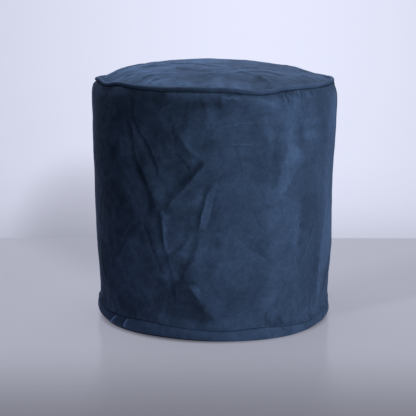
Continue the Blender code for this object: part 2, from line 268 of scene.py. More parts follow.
def wobble(points, size_mm, seed):
    """Smooth noise from about -1 to 1 at each point, with bumps of about this size."""
    scaled = np.reshape(points, (-1, 3)) / (size_mm / 1000) + seed * SEED_STEP
    values = np.array([noise.noise(place) for place in scaled.tolist()])
    return values.reshape(np.shape(points)[:-1]) * TO_ONE


def wobbles(points, *parts):
    """Several noises added up. Each part is an amount, a size in millimetres and a seed."""
    return sum(amount * wobble(points, size_mm, seed) for amount, size_mm, seed in parts)


print("20 mm noise at places 7 mm apart:", wobble(np.eye(3) * 0.005, 20, 1).round(2))

# %% [markdown]
# ## Folds
# A crease in filled cloth isn't a wave. It has a crest like the edge of a folded sheet, one
# steep side with a shallow dip at its foot, and one long gentle side. So a fold here is a path
# on the flat cloth with four sizes. Walking along the path, the steep side is on the right. A
# fold that rises by less than nothing is a groove. Each fold also gets a painted highlight, a
# light line along its crest, and painted shade in a groove and beside a steep side.

# %% A fold's section, and its painted highlight and shade
CREASE = "rise steep gentle dip path"  # millimetres
CREST_MM = 0.6  # how softly a crest is rounded
DIP_WIDTH, DIP_END = 1.3, 2.4  # times the steep side's width: its way back up, and its end
LINE_MM = 1.6  # half the width of the painted highlight along a crest
# painted highlight on a crest, and painted shade in a groove and beside a steep side
CREST_HIGHLIGHT, GROOVE_SHADE, LEE_SHADE = 0.30, 0.25, 0.18
LEE_MIDDLE, LEE_SPREAD = 0.45, 0.3  # where a steep side is darkest, in its own widths


def fold_section(aside, crease):
    """The height of a fold at a distance from its crest, under 0 on its steep side."""
    off = np.hypot(aside, CREST_MM) - CREST_MM
    steep, gentle = off / crease.steep, np.clip(off / crease.gentle, 0, 1)
    drop = (crease.rise + crease.dip) * (1 - (1 - np.clip(steep, 0, 1)) ** 2)
    back_up = crease.dip * smoothstep((steep - 1) / DIP_WIDTH)
    return np.where(aside < 0, crease.rise - drop + back_up, crease.rise * (1 - gentle) ** 2)


def fold_shading(aside, crease):
    """The painted highlight and shade at a distance from a fold's crest."""
    line = np.exp(-((aside / LINE_MM) ** 2))
    if crease.rise < 0:
        return -GROOVE_SHADE * line
    lee = np.exp(-((aside / crease.steep + LEE_MIDDLE) ** 2) / LEE_SPREAD)
    return CREST_HIGHLIGHT * line - LEE_SHADE * np.where(aside < 0, lee, 0.0)


trial = rows(CREASE, (2, 6, 16, 1, ((0, 0), (0, 50))))[0]
across = fold_section(np.array([-12.0, -6.0, 0.0, 8.0, 16.0]), trial)
print("a 2 mm fold, from beyond its dip over its crest:", across.round(1))

# %% The place of each point beside a fold's path
FADE_IN, FADE_OUT = 0.16, 0.22  # the shares of a path over which a fold comes and goes
PATH_STEPS = 5  # pieces that each span of a path is divided into


def beside(crease, x, y):
    """Where places lie near a fold: which ones, how far aside, and its strength there."""
    path = np.array(crease.path, float)
    reach = DIP_END * crease.steep + crease.gentle
    near = (x > path[:, 0].min() - reach) & (x < path[:, 0].max() + reach)
    near &= (y > path[:, 1].min() - reach) & (y < path[:, 1].max() + reach)
    x_near, y_near = x[near], y[near]
    knots = np.arange(len(path))
    fine = np.linspace(0, len(path) - 1, PATH_STEPS * (len(path) - 1) + 1)
    line = np.stack([through(knots, path[:, axis], fine) for axis in (0, 1)], axis=1)
    steps = np.diff(line, axis=0)
    lengths = np.hypot(*steps.T)
    run = np.concatenate([[0], np.cumsum(lengths)])
    nearest = np.full(x_near.shape, np.inf)
    aside, share = np.zeros(x_near.shape), np.zeros(x_near.shape)
    for start, step, length, before in zip(line, steps, lengths, run):
        along = (x_near - start[0]) * step[0] + (y_near - start[1]) * step[1]
        along = np.clip(along / length**2, 0, 1)
        dx, dy = x_near - start[0] - along * step[0], y_near - start[1] - along * step[1]
        distance = np.hypot(dx, dy)
        closer = distance < nearest
        nearest = np.where(closer, distance, nearest)
        side = np.where(step[0] * dy - step[1] * dx < 0, -1.0, 1.0)
        aside = np.where(closer, side * distance, aside)
        share = np.where(closer, (before + along * length) / run[-1], share)
    return near, aside, smoothstep(share / FADE_IN) * smoothstep((1 - share) / FADE_OUT)


def folds(creases, x, y):
    """How far folds lift the cloth at places, in millimetres, and their painted highlight and
    shade.
    """
    relief, tone = np.zeros(x.shape), np.zeros(x.shape)
    for crease in creases:
        near, aside, strength = beside(crease, x, y)
        relief[near] += fold_section(aside, crease) * strength
        tone[near] += fold_shading(aside, crease) * strength
    return relief, tone


up = np.array([0.0, 5.0, 25.0])
print("along its path it comes up to", folds([trial], np.zeros(3), up)[0].round(1), "mm")

# %% [markdown]
# ## The creases of the wall
# The filling has slumped and the cloth of the wall is a little too long for it, so it has
# creased on the left of the front: two long slanting creases, a pointed fold under them, and
# an upright edge below its tip. The right of the front is nearly smooth, but for the pleats
# under the piping and the pinched cloth beside the band. Each row is a crease that was
# measured on the front. The back's are made up, in the same manner and softer. Places are in
# degrees round the drum and millimetres up, and the other sizes are in millimetres.

# %% The wall's creases
WALL_CREASES = rows(
    CREASE,
    # the long slanting creases, left front
    (1.3, 6, 16, 1, ((-38.5, 398), (-38, 378), (-38, 364), (-36, 348), (-31, 328))),
    (2.2, 6, 16, 2, ((-34, 340), (-30.4, 324), (-28, 306), (-26, 290), (-23.8, 270))),
    (1.8, 9, 16, 1.8, ((-41.4, 360), (-39.2, 334), (-37.4, 312), (-35, 292), (-32, 272))),
    (2.4, 12, 16, 2.6, ((-34.4, 292), (-31.4, 270), (-29.4, 252), (-28, 236), (-26.4, 210))),
    # the pointed fold: its upper arm, the crease behind it, and its lower arm
    (2.2, 12, 20, 1.6, ((-17.5, 350), (-14.5, 334), (-11, 320), (-6.4, 308), (-2, 294))),
    (-2.4, 5, 6, 0, ((-20.2, 360), (-19, 344), (-17, 327))),
    (-2.6, 5, 7, 0, ((-19.5, 315), (-15.5, 306), (-12.5, 295), (-10.5, 280))),
    (3.2, 11, 24, 3.2, ((-1.6, 308), (-6.2, 288), (-12, 263), (-17.6, 240), (-25, 207))),
    # the upright edge under its tip, and the small folds that meet it
    (3.6, 8, 26, 2.2, ((-25.6, 224), (-24.4, 204), (-23.4, 184), (-22.6, 162), (-20.6, 144))),
    (1.4, 6, 12, 0.8, ((-21, 152), (-20, 132), (-19, 112), (-17.6, 88), (-17.4, 60))),
    (2, 8, 12, 1.8, ((-9, 178), (-12, 164), (-15.5, 152), (-20.5, 136))),
    (2.6, 9, 18, 2.2, ((-4.6, 182), (-7.4, 162), (-9.2, 140), (-12.6, 116), (-16.8, 90))),
    (-3.4, 6, 8, 0, ((-35, 196), (-31, 165), (-28.6, 145), (-26.6, 127), (-24, 104))),
    # the upright roll in the middle
    (2.4, 8, 9, 2.2, ((0.4, 266), (-2.4, 246), (-4.2, 224), (-6, 200), (-7.4, 182))),
    (-2, 5, 7, 0, ((1.4, 262), (0.2, 238), (-1.2, 216), (-2.6, 198), (-3.8, 184))),
    (-1, 4, 5, 0, ((4.6, 286), (2.6, 276), (1.4, 262))),
    # the edge of the slack patch over the band
    (1.8, 10, 16, 1.4, ((-12.4, 100), (-8.6, 80), (-5, 62), (-0.6, 48), (3, 40))),
    (-1, 4, 5, 0, ((-12, 106), (-8.6, 100), (-5.6, 88), (-4, 80))),
    # small creases on the left
    (-1.6, 6, 8, 0, ((-45.2, 244), (-46.4, 226), (-49, 208), (-52, 194), (-54, 180))),
    (-1.2, 5, 6, 0, ((-52, 224), (-54.6, 206), (-56.4, 196))),
    (-2.2, 6, 8, 0, ((-34.4, 201), (-39, 189), (-44, 172), (-47.4, 152), (-54, 126))),
    (-1.4, 6, 8, 0, ((-54.4, 126), (-54, 116), (-55.6, 106))),
    (-1.2, 6, 9, 0, ((-57, 292), (-61, 287), (-66, 281))),
    (-1.2, 6, 9, 0, ((-53, 340), (-59, 334), (-66, 330))),
    (-1, 5, 8, 0, ((-55, 270), (-60, 262), (-65, 256))),
    (-1.4, 8, 10, 0, ((-60, 246), (-65, 226), (-67, 196))),
    (2, 10, 12, 1.6, ((-66, 150), (-68, 118), (-67, 84), (-64, 56))),
    # small creases on the right
    (-0.8, 3, 4, 0, ((9, 334), (10.6, 310), (12.4, 290), (13.6, 274))),
    (0.8, 5, 7, 0.4, ((2, 354), (10, 361), (20, 364))),
    (0.7, 5, 7, 0.4, ((6, 330), (14, 328), (24, 334))),
    (-0.9, 4, 5, 0, ((22, 254), (23, 242), (23.8, 232))),
    (-0.9, 4, 6, 0, ((18.6, 224), (20, 208), (22, 190))),
    (-0.8, 4, 5, 0, ((15, 164), (20, 151), (25, 138), (28.4, 128))),
    (-1, 5, 5, 0, ((45, 298), (41.6, 286), (38.4, 264), (36, 248))),
    (1, 6, 9, 0.5, ((54.6, 192), (52, 160), (48, 142), (46, 122))),
    (-0.9, 5, 6, 0, ((37, 166), (35, 150), (34, 136))),
    # long uprights near the right edge
    (2.8, 12, 14, 1.4, ((69, 226), (64.4, 172), (60.8, 136), (59.6, 92), (58, 36))),
    (-1.8, 10, 12, 0, ((77, 130), (71, 92), (66, 60))),
    (1.4, 9, 10, 0.8, ((82, 150), (77, 104), (72, 64), (66, 40))),
    # pleats under the piping, right front
    (2.2, 3, 5, 1.1, ((29.4, 408), (30.4, 401), (31.8, 393))),
    (2.6, 3, 5, 1.4, ((32.2, 409), (33.4, 400), (35.4, 390))),
    (2, 3, 4, 1.1, ((36.4, 408), (36.8, 401), (37.2, 395))),
    (1.7, 3, 5, 0.8, ((44.4, 409), (45.4, 401), (48.4, 393))),
    (1.2, 3, 4, 0.6, ((50, 408), (51, 402), (52, 396))),
    (1.8, 4, 5, 0.8, ((70, 409), (71.6, 396), (73.6, 382))),
    (1.6, 4, 5, 0.8, ((76, 409), (77, 394), (78, 378))),
    # pinched beside the foot band, right front
    (-1.8, 4, 5, 0, ((23.6, 48), (25.2, 38), (27.8, 27))),
    (-1.5, 3, 5, 0, ((29.6, 46), (31.6, 37), (34.4, 27))),
    # the slack lip under the piping, and the tuck beside it
    (1.8, 7, 9, 0, ((25.5, 391), (20, 395), (14, 398.5), (7, 402), (1, 405))),
    (-1.2, 5, 6, 0, ((2.4, 402), (1.8, 392), (2.6, 384))),
    (-1, 5, 6, 0, ((-7, 400), (-5.4, 386), (-3.6, 374))),
    (1, 6, 8, 0.6, ((-18, 398), (-21, 388), (-26, 378))),
    (-1, 5, 6, 0, ((-12, 396), (-12.6, 382), (-14.6, 366))),
    (-0.9, 5, 6, 0, ((-5, 354), (-9, 352), (-12, 346))),
    # the back, where the cloth has creased in the same way
    (4.8, 14, 26, 4.5, ((100, 388), (104, 340), (109, 290), (113, 236))),
    (4.2, 16, 26, 4.5, ((118, 356), (121, 310), (124, 250), (127, 188))),
    (-5.4, 16, 20, 0, ((138, 292), (130, 250), (122, 196), (117, 148))),
    (5.1, 14, 26, 3.6, ((143, 250), (147, 190), (151, 120), (153, 44))),
    (4.5, 13, 28, 4.5, ((163, 396), (159, 360), (154, 320), (147, 272))),
    (5.1, 12, 26, 3.9, ((177, 306), (171, 250), (165, 190), (159, 138))),
    (4.8, 13, 26, 4.8, ((183, 388), (186, 330), (190, 280), (193, 228))),
    (5.1, 12, 24, 4.5, ((207, 334), (199, 280), (190, 220), (184, 172))),
    (-4.8, 14, 20, 0, ((206, 204), (203, 150), (198, 90), (195, 44))),
    (4.8, 14, 26, 5.1, ((213, 398), (219, 340), (224, 300), (229, 258))),
    (5.1, 13, 26, 3.9, ((239, 274), (232, 220), (225, 160), (219, 108))),
    (4.5, 13, 24, 4.5, ((245, 374), (250, 310), (254, 250), (257, 178))),
    (3.8, 12, 22, 2.7, ((263, 184), (258, 130), (253, 80), (250, 44))),
)
print(len(WALL_CREASES), "creases on the wall")

# %% [markdown]
# ## Gathers
# Where cloth is eased into a shorter seam it puckers. Close to the stitches the puckers are
# fine, and each one runs out over a distance like its own width, so that only the broad ones
# reach far from the seam. Grooves at the zero crossings of a noise give that uneven rhythm.
# How tight they are changes round the drum, as it was measured.

# %% Gathers along the wall's two seams
GATHERS = rows("width depth", (9, 0.85), (17, 0.95), (34, 0.80))  # millimetres
TIGHTNESS = rows(
    "azimuth top foot",
    (-180, 0.8, 0.9),
    (-120, 0.6, 0.7),
    (-85, 0.5, 0.8),
    (-66, 0.5, 1.3),
    (-50, 0.6, 1.4),
    (-30, 0.8, 0.9),
    (-8, 0.6, 0.7),
    (10, 0.4, 0.2),
    (22, 0.5, 0.6),
    (30, 1.4, 1.2),
    (38, 1.6, 0.9),
    (48, 0.5, 1),
    (60, 0.8, 0.9),
    (70, 2, 0.9),
    (80, 0.9, 0.8),
    (120, 0.8, 0.9),
    (180, 0.8, 0.9),
)
# painted shade in the puckers, by how deep they are
PUCKER_SHADE = 0.25  # tone lost to each millimetre that a pucker is deep
GATHER_SLANT = 0.25  # degrees of azimuth to each millimetre from the seam, to either side
DRIFT_MM = 120  # how far it is from puckers that slant one way to those that slant the other
NOISE_TO_WIDTH = 1.6  # the noise's size to a gather's width
GROOVE_SHARPNESS = 2.6
RUN_OUT = 1.1  # how many of its own widths a gather reaches


def gathers(azimuth, away_mm, seed):
    """How deep the puckers are at a distance from a seam, in millimetres."""
    drift = wobble(at(azimuth, SHOULDER_RADIUS, 0.0), DRIFT_MM, seed)
    line = at(azimuth + GATHER_SLANT * drift * away_mm, SHOULDER_RADIUS, 0.0)
    depth = np.zeros(azimuth.shape)
    for number, gather in enumerate(GATHERS):
        ripple = wobble(line, NOISE_TO_WIDTH * gather.width, seed + number)
        groove = np.clip(1 - GROOVE_SHARPNESS * np.abs(ripple), 0, 1) ** 2
        depth += gather.depth * groove * np.exp(-away_mm / (RUN_OUT * gather.width))
    return depth


print("gathers of", [gather.width for gather in GATHERS], "mm")

# %% [markdown]
# ## Brushed pile, and painted light and shade
# Velvet looks lighter or darker as its pile is stroked one way or the other, with no change in
# its shape. A tone at each point of the mesh holds that: 0 is the plain colour, and 0.1 more or
# less makes it a tenth lighter or darker. The same tone also holds painted highlights on crests
# and edges, and painted shade beside folds, under the piping and on the side away from the light.
# Soft strokes on the front are listed, some brushed pile and some painted light and shade, and
# seeded ones cover the sides and the back.

# %% Strokes in the wall's pile
STROKE = "x y long wide slant tone"  # mm, but slant is in degrees, and so is x on the wall
WALL_STROKES = rows(
    STROKE,
    # painted highlights on the crests and the lip, painted shade on the steep sides and under the
    # piping, and the pile's own tone between
    (-23.4, 210, 9, 6, 0, 0.6),
    (-22.6, 182, 24, 4, -6, 0.5),
    (-21, 154, 12, 6, -12, 0.4),
    (-22.8, 114, 8, 7, 0, 0.25),
    (-2, 378, 26, 9, -10, 0.25),
    (-14.5, 337, 14, 12, -30, 0.16),
    (-32, 350, 12, 10, -30, 0.15),
    (-9.5, 318, 22, 5, -45, 0.26),
    (-21, 325, 50, 26, -25, -0.24),
    (-32, 225, 40, 14, -10, -0.16),
    (-34, 120, 34, 24, 0, -0.16),
    (-15, 372, 16, 26, 0, -0.14),
    (30, 368, 20, 26, 0, 0.12),
    (61, 95, 55, 2.5, 1, 0.25),
    (-36, 318, 30, 6, -12, -0.1),
    (-32.2, 256, 26, 8, -12, -0.3),
    (-29.6, 222, 12, 7, 0, -0.4),
    (-14.4, 268, 32, 7, 46, -0.38),
    (-14.5, 302, 13, 4, -45, -0.32),
    (-15.5, 104, 9, 7, 20, -0.4),
    (-32, 306, 20, 7, -20, 0.1),
    (-26.5, 240, 20, 6, -10, 0.22),
    (-25.5, 322, 10, 8, -30, 0.25),
    (-42, 280, 45, 12, -10, 0.15),
    (-37.5, 225, 26, 16, -5, 0.2),
    (-47, 195, 16, 14, 0, 0.15),
    (-40, 130, 34, 30, 0, 0.18),
    (-14, 225, 26, 10, 55, 0.2),
    (-3.4, 215, 30, 4, 8, 0.12),
    (-6, 140, 26, 8, 15, 0.15),
    (-8, 85, 12, 7, -35, 0.3),
    (33, 385, 20, 22, 0, 0.2),
    (35, 345, 26, 12, -8, 0.3),
    (38.5, 302, 22, 22, 0, 0.26),
    (34.5, 265, 26, 14, 15, 0.16),
    (25.5, 340, 18, 6, -10, 0.25),
    (49, 335, 8, 22, 0, 0.2),
    (48, 356, 5, 20, 0, 0.15),
    (30, 225, 30, 28, 0, 0.12),
    (8, 358, 12, 30, 0, 0.1),
    (2, 300, 16, 14, 0, 0.15),
    (28, 90, 60, 16, 0, 0.12),
    (41.2, 170, 60, 4, 0, 0.12),
    (63.5, 130, 60, 7, 6, 0.2),
    (-57, 285, 50, 8, 0, 0.16),
    (-60, 60, 26, 30, 0, -0.12),
    (-60, 302, 24, 30, 0, 0.1),
    (-30, 180, 16, 18, 0, 0.12),
    (-30, 120, 20, 26, 0, -0.08),
    (-15, 302, 20, 22, 0, -0.1),
    (-15, 110, 20, 24, 0, -0.06),
    (0, 302, 18, 20, 0, 0.08),
    (0, 178, 20, 24, 0, -0.08),
    (72, 360, 26, 26, 0, 0.09),
    (72, 178, 34, 24, 0, 0.08),
    (-17, 392, 9, 24, 0, -0.45),
    (-5, 390, 9, 26, 0, -0.45),
    (8, 403, 14, 2.5, 94, 0.4),
    (28, 393, 10, 22, 0, 0.35),
    # painted shade in the pinches beside the foot band, and highlights on the ridges there, right
    # front
    (25.2, 35, 9, 3, -30, -0.5),
    (31.6, 34, 8, 3, -30, -0.4),
    (28.4, 38, 8, 3, -30, 0.15),
    (50, 48, 14, 1.8, 25, 0.25),
    (55, 56, 18, 1.8, 25, 0.28),
    (62, 62, 28, 2, 30, 0.35),
    # painted highlight on the lip's edge, and painted highlights and shade on the pleats beside it
    (16.5, 402.5, 15, 2.2, 96, 0.35),
    (24.3, 395, 16, 2.4, 113, 0.35),
    (31, 399, 6, 1.8, -20, -0.7),
    (32.4, 398, 6, 2, -25, 0.5),
    (33.8, 399, 6, 1.8, -30, -0.65),
    (35.4, 399, 6, 2, -35, 0.45),
    (39.6, 401, 5, 1.6, -40, -0.45),
    (41.2, 400, 6, 2.2, -30, 0.4),
    (42.8, 400, 4, 1.6, -20, -0.4),
    (46, 399, 5, 4, -30, 0.4),
    (49, 401, 4, 1.8, -30, -0.35),
    (72, 396, 12, 2, -5, -0.35),
    (75, 392, 16, 2, -5, 0.35),
    (78, 392, 16, 2, -5, -0.35),
    # painted shade across the front, most on its left, and painted light at its right edge
    (-30, 240, 30, 14, -10, -0.18),
    (-32, 300, 30, 22, -10, -0.12),
    (-15, 365, 30, 24, 0, -0.15),
    (-15, 300, 16, 16, 0, -0.12),
    (-14, 120, 24, 16, 0, -0.12),
    (-30, 120, 24, 18, 0, -0.14),
    (15, 362, 30, 24, 0, -0.1),
    (74, 370, 50, 16, 0, 0.2),
    (74, 180, 40, 14, 0, 0.12),
    # dark strokes: painted shade under the piping and the lip, and darker pile in patches
    (-27, 398, 8, 20, 0, -0.35),
    (-22, 382, 4, 16, 0, -0.25),
    (-2.5, 327, 9, 14, 0, -0.35),
    (-7, 355, 6, 12, 0, -0.2),
    (-5, 382, 14, 5, -12, -0.3),
    (1.8, 393, 10, 6, 0, -0.6),
    (-7.5, 212, 20, 10, 15, -0.4),
    (0, 212, 12, 8, 15, -0.3),
    (-15, 128, 16, 10, 12, -0.35),
    (-23, 135, 10, 9, 0, -0.3),
    (-22, 80, 26, 22, 0, -0.3),
    (-9, 62, 22, 16, -40, -0.45),
    (-3, 46, 10, 12, -30, -0.3),
    (-11, 100, 5, 10, 0, -0.35),
    (29, 308, 26, 10, 0, -0.24),
    (28, 355, 10, 12, 0, -0.25),
    (29, 270, 16, 8, 10, -0.2),
    (22, 300, 60, 20, 0, -0.12),
    (42, 335, 20, 9, 0, -0.3),
    (50, 300, 20, 24, 0, -0.1),
    (13, 385, 9, 8, 0, -0.25),
    (2, 166, 8, 6, 0, -0.3),
    (21, 155, 18, 5, -50, -0.2),
    (14, 90, 50, 30, 0, -0.1),
    (-55, 116, 12, 5, 0, -0.35),
    (-67, 115, 45, 14, 5, -0.35),
    (-60, 250, 40, 18, 0, -0.15),
    (-62, 340, 12, 20, 0, -0.2),
    (72, 85, 28, 14, 25, -0.35),
    (57, 130, 40, 10, 10, -0.2),
    (47, 215, 30, 16, 0, -0.15),
)


def seeded_strokes(count, seed):
    """Strokes for the sides and the back, which the camera at the front doesn't see."""
    dice = np.random.default_rng(seed)
    drawn = [
        (
            dice.uniform(80, 275),
            dice.uniform(40, 395),
            dice.uniform(14, 50),
            dice.uniform(7, 22),
            dice.uniform(-50, 50),
            dice.uniform(0.08, 0.24) * dice.choice([-1, 1]),
        )
        for _ in range(count)
    ]
    return rows(STROKE, *drawn)


def stroke_tone(strokes, x, y):
    """The strokes' tones added up at places on the flat cloth, in millimetres."""
    tone = np.zeros(x.shape)
    for stroke in strokes:
        slant = math.radians(stroke.slant)
        dx, dy = x - stroke.x, y - stroke.y
        along = dx * math.sin(slant) + dy * math.cos(slant)
        across = dx * math.cos(slant) - dy * math.sin(slant)
        tone += stroke.tone * np.exp(-((along / stroke.long) ** 2) - (across / stroke.wide) ** 2)
    return tone


print(len(WALL_STROKES), "strokes on the front")

# %% [markdown]
# Some of the brushed places have an edge, where a hand stopped or the seam lies. A soft stroke
# can't give that, so these are patches, with corners and a width over which they fade. Some of
# them are painted light and shade: light at the right edge, shade at the left, low down and in
# hollows.

# %% Patches in the wall's pile
WALL_PATCHES = rows(
    "tone soft corners",  # soft in mm, and the corners anticlockwise
    # the brushed light patch, and the dark one to its left
    (0.15, 7, ((28, 247), (35.5, 249), (40.5, 274), (44.5, 300), (39, 320), (34, 326))),
    (-0.08, 8, ((27, 306), (30.5, 293), (34, 300), (33, 318), (26, 322))),
    # light to the left of the seam, dark to its right
    (0.07, 10, ((24.5, 46), (43.6, 46), (43.3, 80), (42.3, 180), (41, 236), (25, 240))),
    (-0.1, 9, ((43.8, 46), (57, 46), (58, 140), (56, 236), (41.2, 236), (42.6, 180))),
    # painted shade in the slack corner over the band and in the hollow of the pointed fold
    (-0.26, 5, ((-31, 44), (-4, 38), (0.5, 46), (-12.6, 95), (-17, 104), (-27, 104))),
    (-0.2, 6, ((-24, 236), (-19, 238), (-5.4, 299), (-12, 298), (-23, 262))),
    # painted light at the right edge, and painted shade low on the front and at the left
    (0.26, 26, ((64, 100), (88, 90), (88, 396), (64, 396))),
    (-0.12, 50, ((-90, 26), (60, 26), (60, 96), (-90, 96))),
    (-0.08, 40, ((8, 60), (56, 60), (56, 240), (8, 240))),
    (-0.14, 40, ((-90, 44), (-24, 44), (-27, 200), (-30, 310), (-90, 310))),
    # lighter, high up on the right
    (0.12, 30, ((22, 290), (50, 300), (50, 400), (22, 400))),
    (0.1, 7, ((24.5, 336), (29, 334), (29, 352), (25, 352))),
    (0.07, 9, ((43.5, 331), (54, 328), (54, 341), (43.5, 343))),
    (0.08, 9, ((39, 352), (54, 351), (54, 360), (40, 366))),
)


def patch_tone(patches, x, y):
    """The patches' tones at places on the flat cloth, in millimetres."""
    tone = np.zeros(x.shape)
    for patch in patches:
        inside = np.full(x.shape, np.inf)
        for here, there in zip(patch.corners, patch.corners[1:] + patch.corners[:1]):
            step = np.subtract(there, here)
            depth = step[0] * (y - here[1]) - step[1] * (x - here[0])
            inside = np.minimum(inside, depth / np.hypot(*step))
        tone += patch.tone * smoothstep(0.5 + inside / patch.soft)
    return tone


print(len(WALL_PATCHES), "patches on the front")

# %% [markdown]
# Under all that the pile is crushed, in clouds with frayed edges. A noise that is read at
# places pushed about by another noise gives them. The left of the front is crushed the most.

# %% Crushed pile, and what else changes round the drum
CRUSH = rows(
    # how strongly the pile is crushed, how strong the folds' painted highlight and shade are, how
    # much of their height the folds have, and how far the slack cloth bulges under the piping, in
    # mm
    "azimuth share lines slack lip",
    (-90, 0.9, 0.8, 0.6, 0.5),
    (-74, 1.35, 0.8, 0.5, 0.3),
    (-55, 1.3, 0.7, 0.42, 0.2),
    (-30, 1.15, 0.7, 0.42, 0.2),
    (-12, 1, 0.7, 0.42, 0.1),
    (5, 0.6, 0.7, 0.42, 0),
    (25, 0.5, 0.7, 0.42, 0.6),
    (42, 0.45, 0.7, 0.42, 1.5),
    (50, 0.25, 0.7, 0.42, 1.6),
    (75, 0.3, 0.7, 0.5, 1.6),
    (95, 0.5, 0.8, 0.65, 1.4),
    (180, 0.65, 0.8, 0.7, 0.8),
    (240, 0.75, 0.8, 0.6, 0.5),
    (270, 0.9, 0.8, 0.6, 0.5),
)


def crushed(places, seed):
    """The tone of pile that is crushed in patches of three sizes, at points in space."""

    def pushed(size_mm, first):
        ways = [wobble(places, size_mm, seed + first + axis) for axis in range(3)]
        return np.stack(ways, axis=-1)

    bent = places + 0.010 * pushed(34, 0) + 0.0016 * pushed(7, 3)
    tone = 0.15 * np.tanh(2.2 * wobble(bent, 44, seed + 6))
    tone += 0.13 * np.tanh(1.8 * wobble(bent, 16, seed + 7))
    return tone + 0.07 * wobble(bent, 6, seed + 8)


print("the pile is crushed the most at", max(CRUSH, key=lambda row: row.share).azimuth, "degrees")

# %% [markdown]
# ## Skins
# Every soft piece here is a closed skin through rings of points. Rings that all have the same
# number of points need no search for neighbours: the faces follow from counting. A single
# point closes each end. The pile's tone, with the painted highlights and shade in it, goes on
# the mesh as an attribute, which the finish reads by its name and multiplies its colour with.

# %% Make a mesh from rings


def skin(name, rings, tones, ends=None):
    """A smooth object through rings, an array of (ring, point, xyz), with a tone at each.

    The rings run anticlockwise seen from above and from the bottom up. ends are the two points
    that close it; without them the last ring joins the first, as in a hollow band.
    """
    count, around = rings.shape[:2]
    index = np.arange(count * around).reshape(count, around)
    low, high = index, np.roll(index, -1, axis=0)
    if ends is not None:
        low, high = low[:-1], high[:-1]
    corners = [low, np.roll(low, -1, axis=1), np.roll(high, -1, axis=1), high]
    faces = np.stack(corners, axis=-1).reshape(-1, 4).tolist()
    points, values = rings.reshape(-1, 3), np.exp(tones.reshape(-1))
    if ends is not None:
        first, last = len(points), len(points) + 1
        points = np.concatenate([points, np.array(ends, float)])
        values = np.concatenate([values, [1.0, 1.0]])
        bottom, top = index[0], index[-1]
        faces += np.stack([np.roll(bottom, -1), bottom, np.full(around, first)], axis=1).tolist()
        faces += np.stack([top, np.roll(top, -1), np.full(around, last)], axis=1).tolist()
    mesh = bpy.data.meshes.new(name)
    mesh.from_pydata(points.tolist(), [], faces)
    mesh.attributes.new("pile_tone", "FLOAT", "POINT").data.foreach_set("value", values)
    mesh.shade_smooth()
    piece = bpy.data.objects.new(name, mesh)
    bpy.context.scene.collection.objects.link(piece)
    triangles = sum(len(face) - 2 for face in faces)
    print(f"{name}: {len(points)} points, {triangles} triangles")
    return piece


print("skins get their faces by counting")

# %% [markdown]
# ## The wall
# The wall is a grid of rings, about 2.4 mm from one to the next and closer at both seams, on
# the same section as the part's. On each point the creases, the gathers and a slight crumple
# add up to one move outwards or inwards. An upright seam at the right front joins the strip's
# ends. Under the piping the slack cloth bulges up a little before it turns in to the stitches.

# %% Places on the wall
FRONT_FROM, FRONT_TO = -78.0, 58.0  # degrees round it, where most of the creases lie
FRONT_POINTS, BACK_POINTS = 316, 264
DEGREE_MM = math.radians(1) * SHOULDER_RADIUS * 1000

wall_heights = np.concatenate(
    [
        np.linspace(WALL_BOTTOM, IN_BAND_TOP, 3),
        [0.0243, 0.0247, 0.0252, 0.0259, 0.0268, 0.0280, 0.0295, 0.0312, 0.0330],
        np.linspace(0.0350, 0.3850, 146),
        np.linspace(0.3850, 0.4030, 9)[1:],
        [0.4045, 0.4057, 0.4067, 0.4075, 0.4081, WALL_TOP],
    ]
)
wall_azimuths = np.concatenate(
    [
        np.linspace(FRONT_FROM, FRONT_TO, FRONT_POINTS, endpoint=False),
        np.linspace(FRONT_TO, FRONT_FROM + 360, BACK_POINTS, endpoint=False),
    ]
)
azimuth, height = np.meshgrid(wall_azimuths, wall_heights)
print("wall grid:", azimuth.shape)

# %% Its folds, which stray a little from their paths


def in_mm(path):
    """A path on the wall, with its degrees turned into millimetres of cloth."""
    return tuple((turn * DEGREE_MM, up) for turn, up in path)


places = at(azimuth, SHOULDER_RADIUS, height)
strayed_x = azimuth * DEGREE_MM + wobbles(places, (2.2, 34, 1), (1.0, 12, 2), (0.6, 5, 7))
strayed_y = height * 1000 + wobbles(places, (2.2, 34, 3), (1.0, 12, 4))

creases = [crease._replace(path=in_mm(crease.path)) for crease in WALL_CREASES]
wall_folds, wall_fold_shading = folds(creases, strayed_x, strayed_y)
rise_and_fall = np.clip(0.95 + 0.45 * wobble(places, 70, 9), 0.4, 1.4)
broken = np.clip(0.95 + 0.55 * wobble(places, 26, 5), 0.25, 1.6)
wall_folds *= rise_and_fall * round_drum(CRUSH, "slack", azimuth)
wall_fold_shading *= broken * round_drum(CRUSH, "lines", azimuth)
print("folds from %.1f to %.1f mm" % (wall_folds.min(), wall_folds.max()))

# %% Its gathers, crumple and upright seam
TOP_STITCHES = 0.4085
STITCHED_FLAT = (1.5, 1.0)  # mm from the foot's and the top's stitches, where puckers begin
WALL_SEAM_AZIMUTH = 42.3
SEAM_WANDER, SEAM_WAVES = 1.2, 9.0  # degrees that the seam strays, and radians a metre
SEAM_GROOVE_MM = 1.0
SEAM_HALF_WIDTH_MM = 1.6
FOLDS_FROM, FOLDS_TO = 0.026, 0.4080
FOLDS_COME, FOLDS_GO = 0.012, 0.005  # the heights over which they reach their full size
WALL_SWELLS = rows("turns rises phase size", (3, 1, 40, 0.8), (5, 2, 200, 0.7), (8, -2, 90, 0.5))

from_foot, from_top = (height - BAND_HEIGHT) * 1000, (TOP_STITCHES - height) * 1000
puckers = round_drum(TIGHTNESS, "foot", azimuth) * gathers(azimuth, np.maximum(from_foot, 0), 10)
puckers += round_drum(TIGHTNESS, "top", azimuth) * gathers(azimuth, np.maximum(from_top, 0), 20)
puckers *= smoothstep(from_foot / STITCHED_FLAT[0]) * smoothstep(from_top / STITCHED_FLAT[1])

